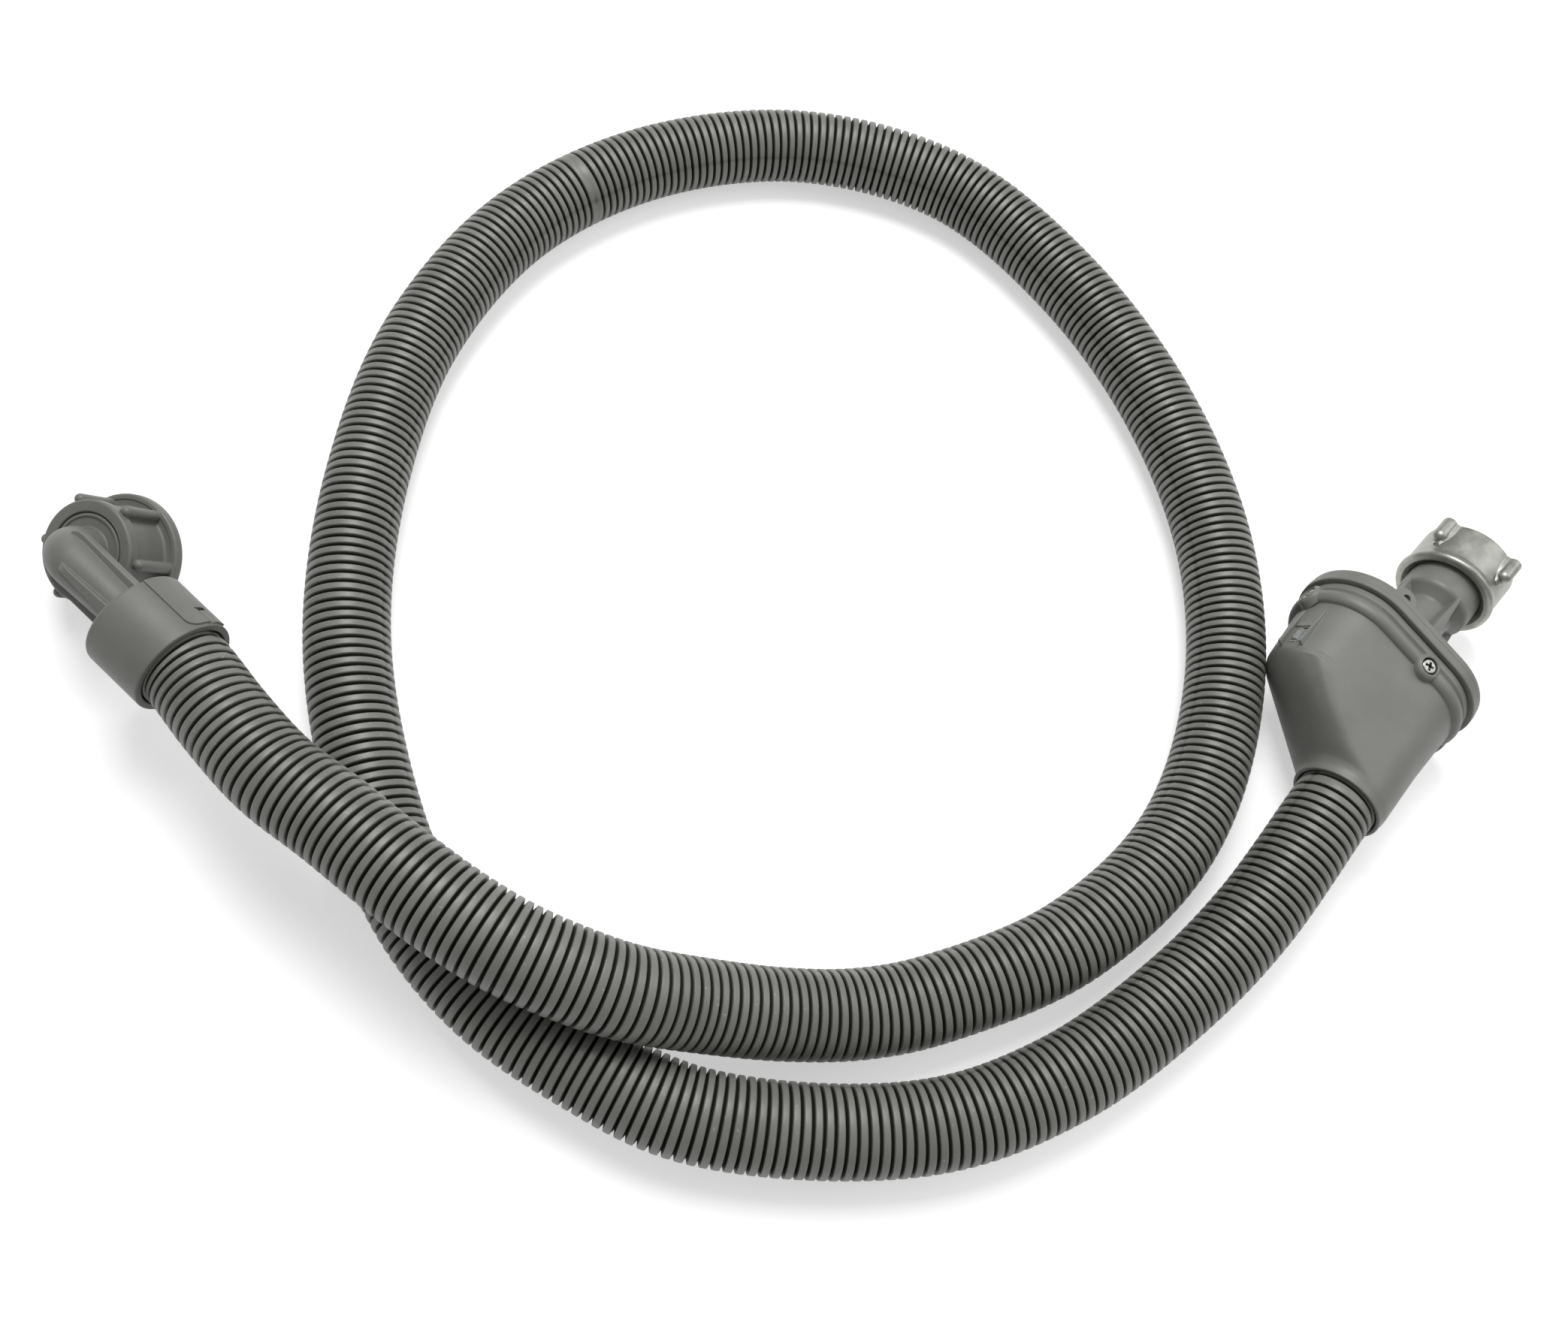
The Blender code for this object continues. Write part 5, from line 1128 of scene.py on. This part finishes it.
def tap_nut(finish):
    lip_bottom = METAL_BOTTOM + METAL_MOUTH_DEPTH
    lip_top = lip_bottom + METAL_LIP
    cavity_top = lip_top + CLIP_CAVITY
    bulge = 1.5 * MM
    profile = [
        (METAL_MOUTH, METAL_BOTTOM + 0.3 * MM),
        (METAL_MOUTH + 0.3 * MM, METAL_BOTTOM),
        *arc((METAL_BULGE - bulge, METAL_BOTTOM + bulge), bulge, -90.0, 20.0, 8),
        (METAL_RADIUS + 0.35 * MM, METAL_BOTTOM + METAL_BULGE_LENGTH - 0.4 * MM),
        (METAL_RADIUS, METAL_BOTTOM + METAL_BULGE_LENGTH + 0.4 * MM),
        (METAL_RADIUS, METAL_TOP - 0.8 * MM),
        *arc((METAL_RADIUS - 0.6 * MM, METAL_TOP - 0.6 * MM), 0.6 * MM, 0.0, 90.0, 4),
        (THREAD_MAJOR, METAL_TOP),
        *thread_rings(METAL_TOP - 0.9 * MM, cavity_top),
        (THREAD_MINOR, cavity_top),
        (CLIP_RADIUS + FIT, cavity_top),
        (CLIP_RADIUS + FIT, lip_top),
        (NECK_RADIUS + FIT, lip_top),
        (NECK_RADIUS + FIT, lip_bottom),
    ]
    wings = []
    start = METAL_TOP - WING_LENGTH
    centre = WING_REACH - WING_RADIUS
    # Web that widens towards the nut's wall and runs out into it at the bottom
    outlines = []
    for wide, reach, z in (
        (0.35, METAL_RADIUS + 0.5 * MM, start - 0.8 * MM),
        (0.8, centre - 0.2 * MM, start + WING_RADIUS),
        (1.0, centre, start + 2 * WING_RADIUS),
        (1.0, centre, METAL_TOP - 2 * FIT),
    ):
        steps = ((METAL_RADIUS - MM, 1.5), (METAL_RADIUS + 0.4 * MM, 1.15), (reach, 0.85))
        left = [(x, -WING_RADIUS * share * wide, z) for x, share in steps]
        outlines.append(left + [(x, -y, z) for x, y, z in reversed(left)])
    for number in range(WING_COUNT):
        place = turn(WING_PHASE + 360.0 * number / WING_COUNT)
        nose = lathe([
            (0.0, start),
            *arc((0.0, start + WING_RADIUS), WING_RADIUS, -80.0, 0.0, 8),
            *arc((WING_RADIUS - 0.5 * MM, METAL_TOP - FIT - 0.5 * MM), 0.5 * MM, 0.0, 90.0, 3),
            (0.0, METAL_TOP - FIT),
        ], 40)
        wings.append(placed(add(placed(nose, shift(centre, 0.0, 0.0)), grown(outlines)), place))
    shape = add(lathe(profile, 128), *wings)
    piece("metal_union_nut", shape, VALVE, finish, "cast_metal", "tap_nut", "tap_nut", sharp=32.0)


def cover_screws(finish):
    """Pan heads with a cross recess whose arms narrow towards the bottom."""
    for name, place, _, seat in screw_places():
        low = seat + FIT
        high = seat + SCREW_HEAD_HEIGHT
        body = lathe([
            (0.0, low - SCREW_LENGTH),
            (SCREW_SHANK * 0.5, low - SCREW_LENGTH),
            (SCREW_SHANK, low - SCREW_LENGTH + 1.2 * MM),
            (SCREW_SHANK, low),
            (SCREW_HEAD, low),
            (SCREW_HEAD, low + 0.45 * MM),
            *arc((SCREW_HEAD - 0.65 * MM, low + 0.45 * MM), 0.65 * MM, 0.0, 90.0, 5),
            (0.0, high),
        ], 48)
        arms = []
        ends = ((0.8 * MM, 0.3 * MM, high - 1.0 * MM), (1.9 * MM, 0.55 * MM, high + 0.3 * MM))
        for degrees in CROSS_TURNS:
            arm = grown([[(-reach, -half, z), (reach, -half, z), (reach, half, z), (-reach, half, z)]
                         for reach, half, z in ends])
            arms.append(placed(arm, turn(degrees)))
        shape = cut(body, *arms)
        piece("cross_head_" + name[-1], placed(shape, place), VALVE, finish, "steel", "hose", name)


# Scene
def white_ground():
    """Pale floor: white to the camera, with the object's shadow kept."""
    mesh = bpy.data.meshes.new("ground")
    bm = bmesh.new()
    bmesh.ops.create_grid(bm, x_segments=1, y_segments=1, size=FLOOR_SIZE)
    bm.to_mesh(mesh)
    bm.free()
    ground = bpy.data.objects.new("ground", mesh)
    bpy.context.scene.collection.objects.link(ground)
    made, tree, inputs = start_material("white paper backdrop", 0.95)
    inputs["Base Color"].default_value = (FLOOR_TONE, FLOOR_TONE, FLOOR_TONE, 1.0)
    inputs["Specular IOR Level"].default_value = 0.0
    inputs["Emission Color"].default_value = (1.0, 1.0, 1.0, 1.0)
    rays = add_node(tree, "LightPath")
    seen = add_node(tree, "Math", {"operation": "MAXIMUM"},
                    i0=rays.outputs["Is Camera Ray"], i1=rays.outputs["Is Glossy Ray"])
    # The glow grows with the distance, so the far floor is as white as the world behind it
    spot = add_node(tree, "TexCoord").outputs["Object"]
    away = add_node(tree, "VectorMath", {"operation": "LENGTH"}, i0=spot)
    glow = add_node(tree, "MapRange", Value=away.outputs["Value"],
                    From_Min=0.4, From_Max=0.9, To_Min=FLOOR_GLOW, To_Max=1.0)
    add_node(tree, "Math", {"operation": "MULTIPLY"}, ("Value", inputs["Emission Strength"]),
             i0=seen.outputs["Value"], i1=glow.outputs["Result"])
    mesh.materials.append(made)


def soft_box(name, spot, size, power):
    """Square lamp aimed at the middle of the object."""
    light = bpy.data.lights.new(name, "AREA")
    light.shape = "SQUARE"
    light.size = size
    light.energy = power
    lamp = bpy.data.objects.new(name, light)
    lamp.location = spot
    lamp.rotation_euler = (-Vector(spot)).to_track_quat("-Z", "Y").to_euler()
    bpy.context.scene.collection.objects.link(lamp)


def studio():
    white_ground()
    soft_box("key", (-0.1, 0.55, 1.2), 0.6, KEY_POWER)
    soft_box("side", (0.9, 0.2, 0.8), 0.7, SIDE_POWER)
    world = bpy.data.worlds.new("studio")
    world.use_nodes = True
    tree = world.node_tree
    back = tree.nodes["Background"]
    back.inputs["Color"].default_value = (1.0, 1.0, 1.0, 1.0)
    rays = add_node(tree, "LightPath")
    add_node(tree, "MapRange", None, ("Result", back.inputs["Strength"]),
             Value=rays.outputs["Is Camera Ray"], To_Min=WORLD_STRENGTH, To_Max=1.0)
    bpy.context.scene.world = world
    bpy.context.scene.view_settings.view_transform = "Standard"


def dress_inner_nodes(finishes):
    """The pieces inside the fittings keep their solids and get their real finishes."""
    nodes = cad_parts
    for finish, names in finishes:
        for name in names:
            mesh = nodes[name].data
            mesh.materials.clear()
            mesh.materials.append(finish)


photograph_camera()
outer_hose(corrugated_plastic("corrugated polypropylene"))

grey = moulded_plastic("moulded grey polypropylene", "#797a75", "#73746f", "#8e8f89", 0.46)
elbow_grey = moulded_plastic("moulded grey polypropylene, elbow end", "#72736e", "#6c6d68", "#8b8c86", 0.48)
zinc = die_cast_zinc("tumbled die-cast zinc")
plated = zinc_plated_steel("zinc-plated steel")
rubber = nitrile_rubber("moulded nitrile rubber")
acetal = tinted_plastic("natural white acetal", "#e4e3dc", "#dad9d1", 0.4)
red = tinted_plastic("red acetal", "#c8281e", "#b52119", 0.38)
tube_black = tinted_plastic("black reinforced tube", "#3c3c3e", "#333335", 0.55)
clear = clear_polycarbonate("clear polycarbonate")
fibre = pressed_fibre("pressed cellulose fibre")

appliance_nut(elbow_grey)
elbow_body(elbow_grey)
hose_collar(elbow_grey)
valve_housing(grey)
valve_cover(grey)
sight_window(clear)
tap_nut(zinc)
cover_screws(plated)
flange_low = NUT_HEIGHT - NUT_RECESS_DEPTH - NUT_LIP - FIT - ELBOW_FLANGE
seal_washer("appliance_washer", "appliance_seal_washer", ELBOW, flange_low - FIT - WASHER_THICKNESS, rubber)
seal_washer("tap_washer", "tap_seal_washer", VALVE, NECK_TOP + 2 * FIT, rubber)
dress_inner_nodes([
    (rubber, ("cover_gasket", "plunger_seal")),
    (plated, ("nut_retaining_clip", "ferrule_appliance_end", "ferrule_valve_end")),
    (acetal, ("inlet_strainer", "valve_block", "chamber_cap", "closing_plunger", "pad_cup")),
    (red, ("indicator_arm",)),
    (tube_black, ("inner_tube_appliance_end", "inner_tube_valve_end")),
    (fibre, ("swelling_pad",)),
])
studio()
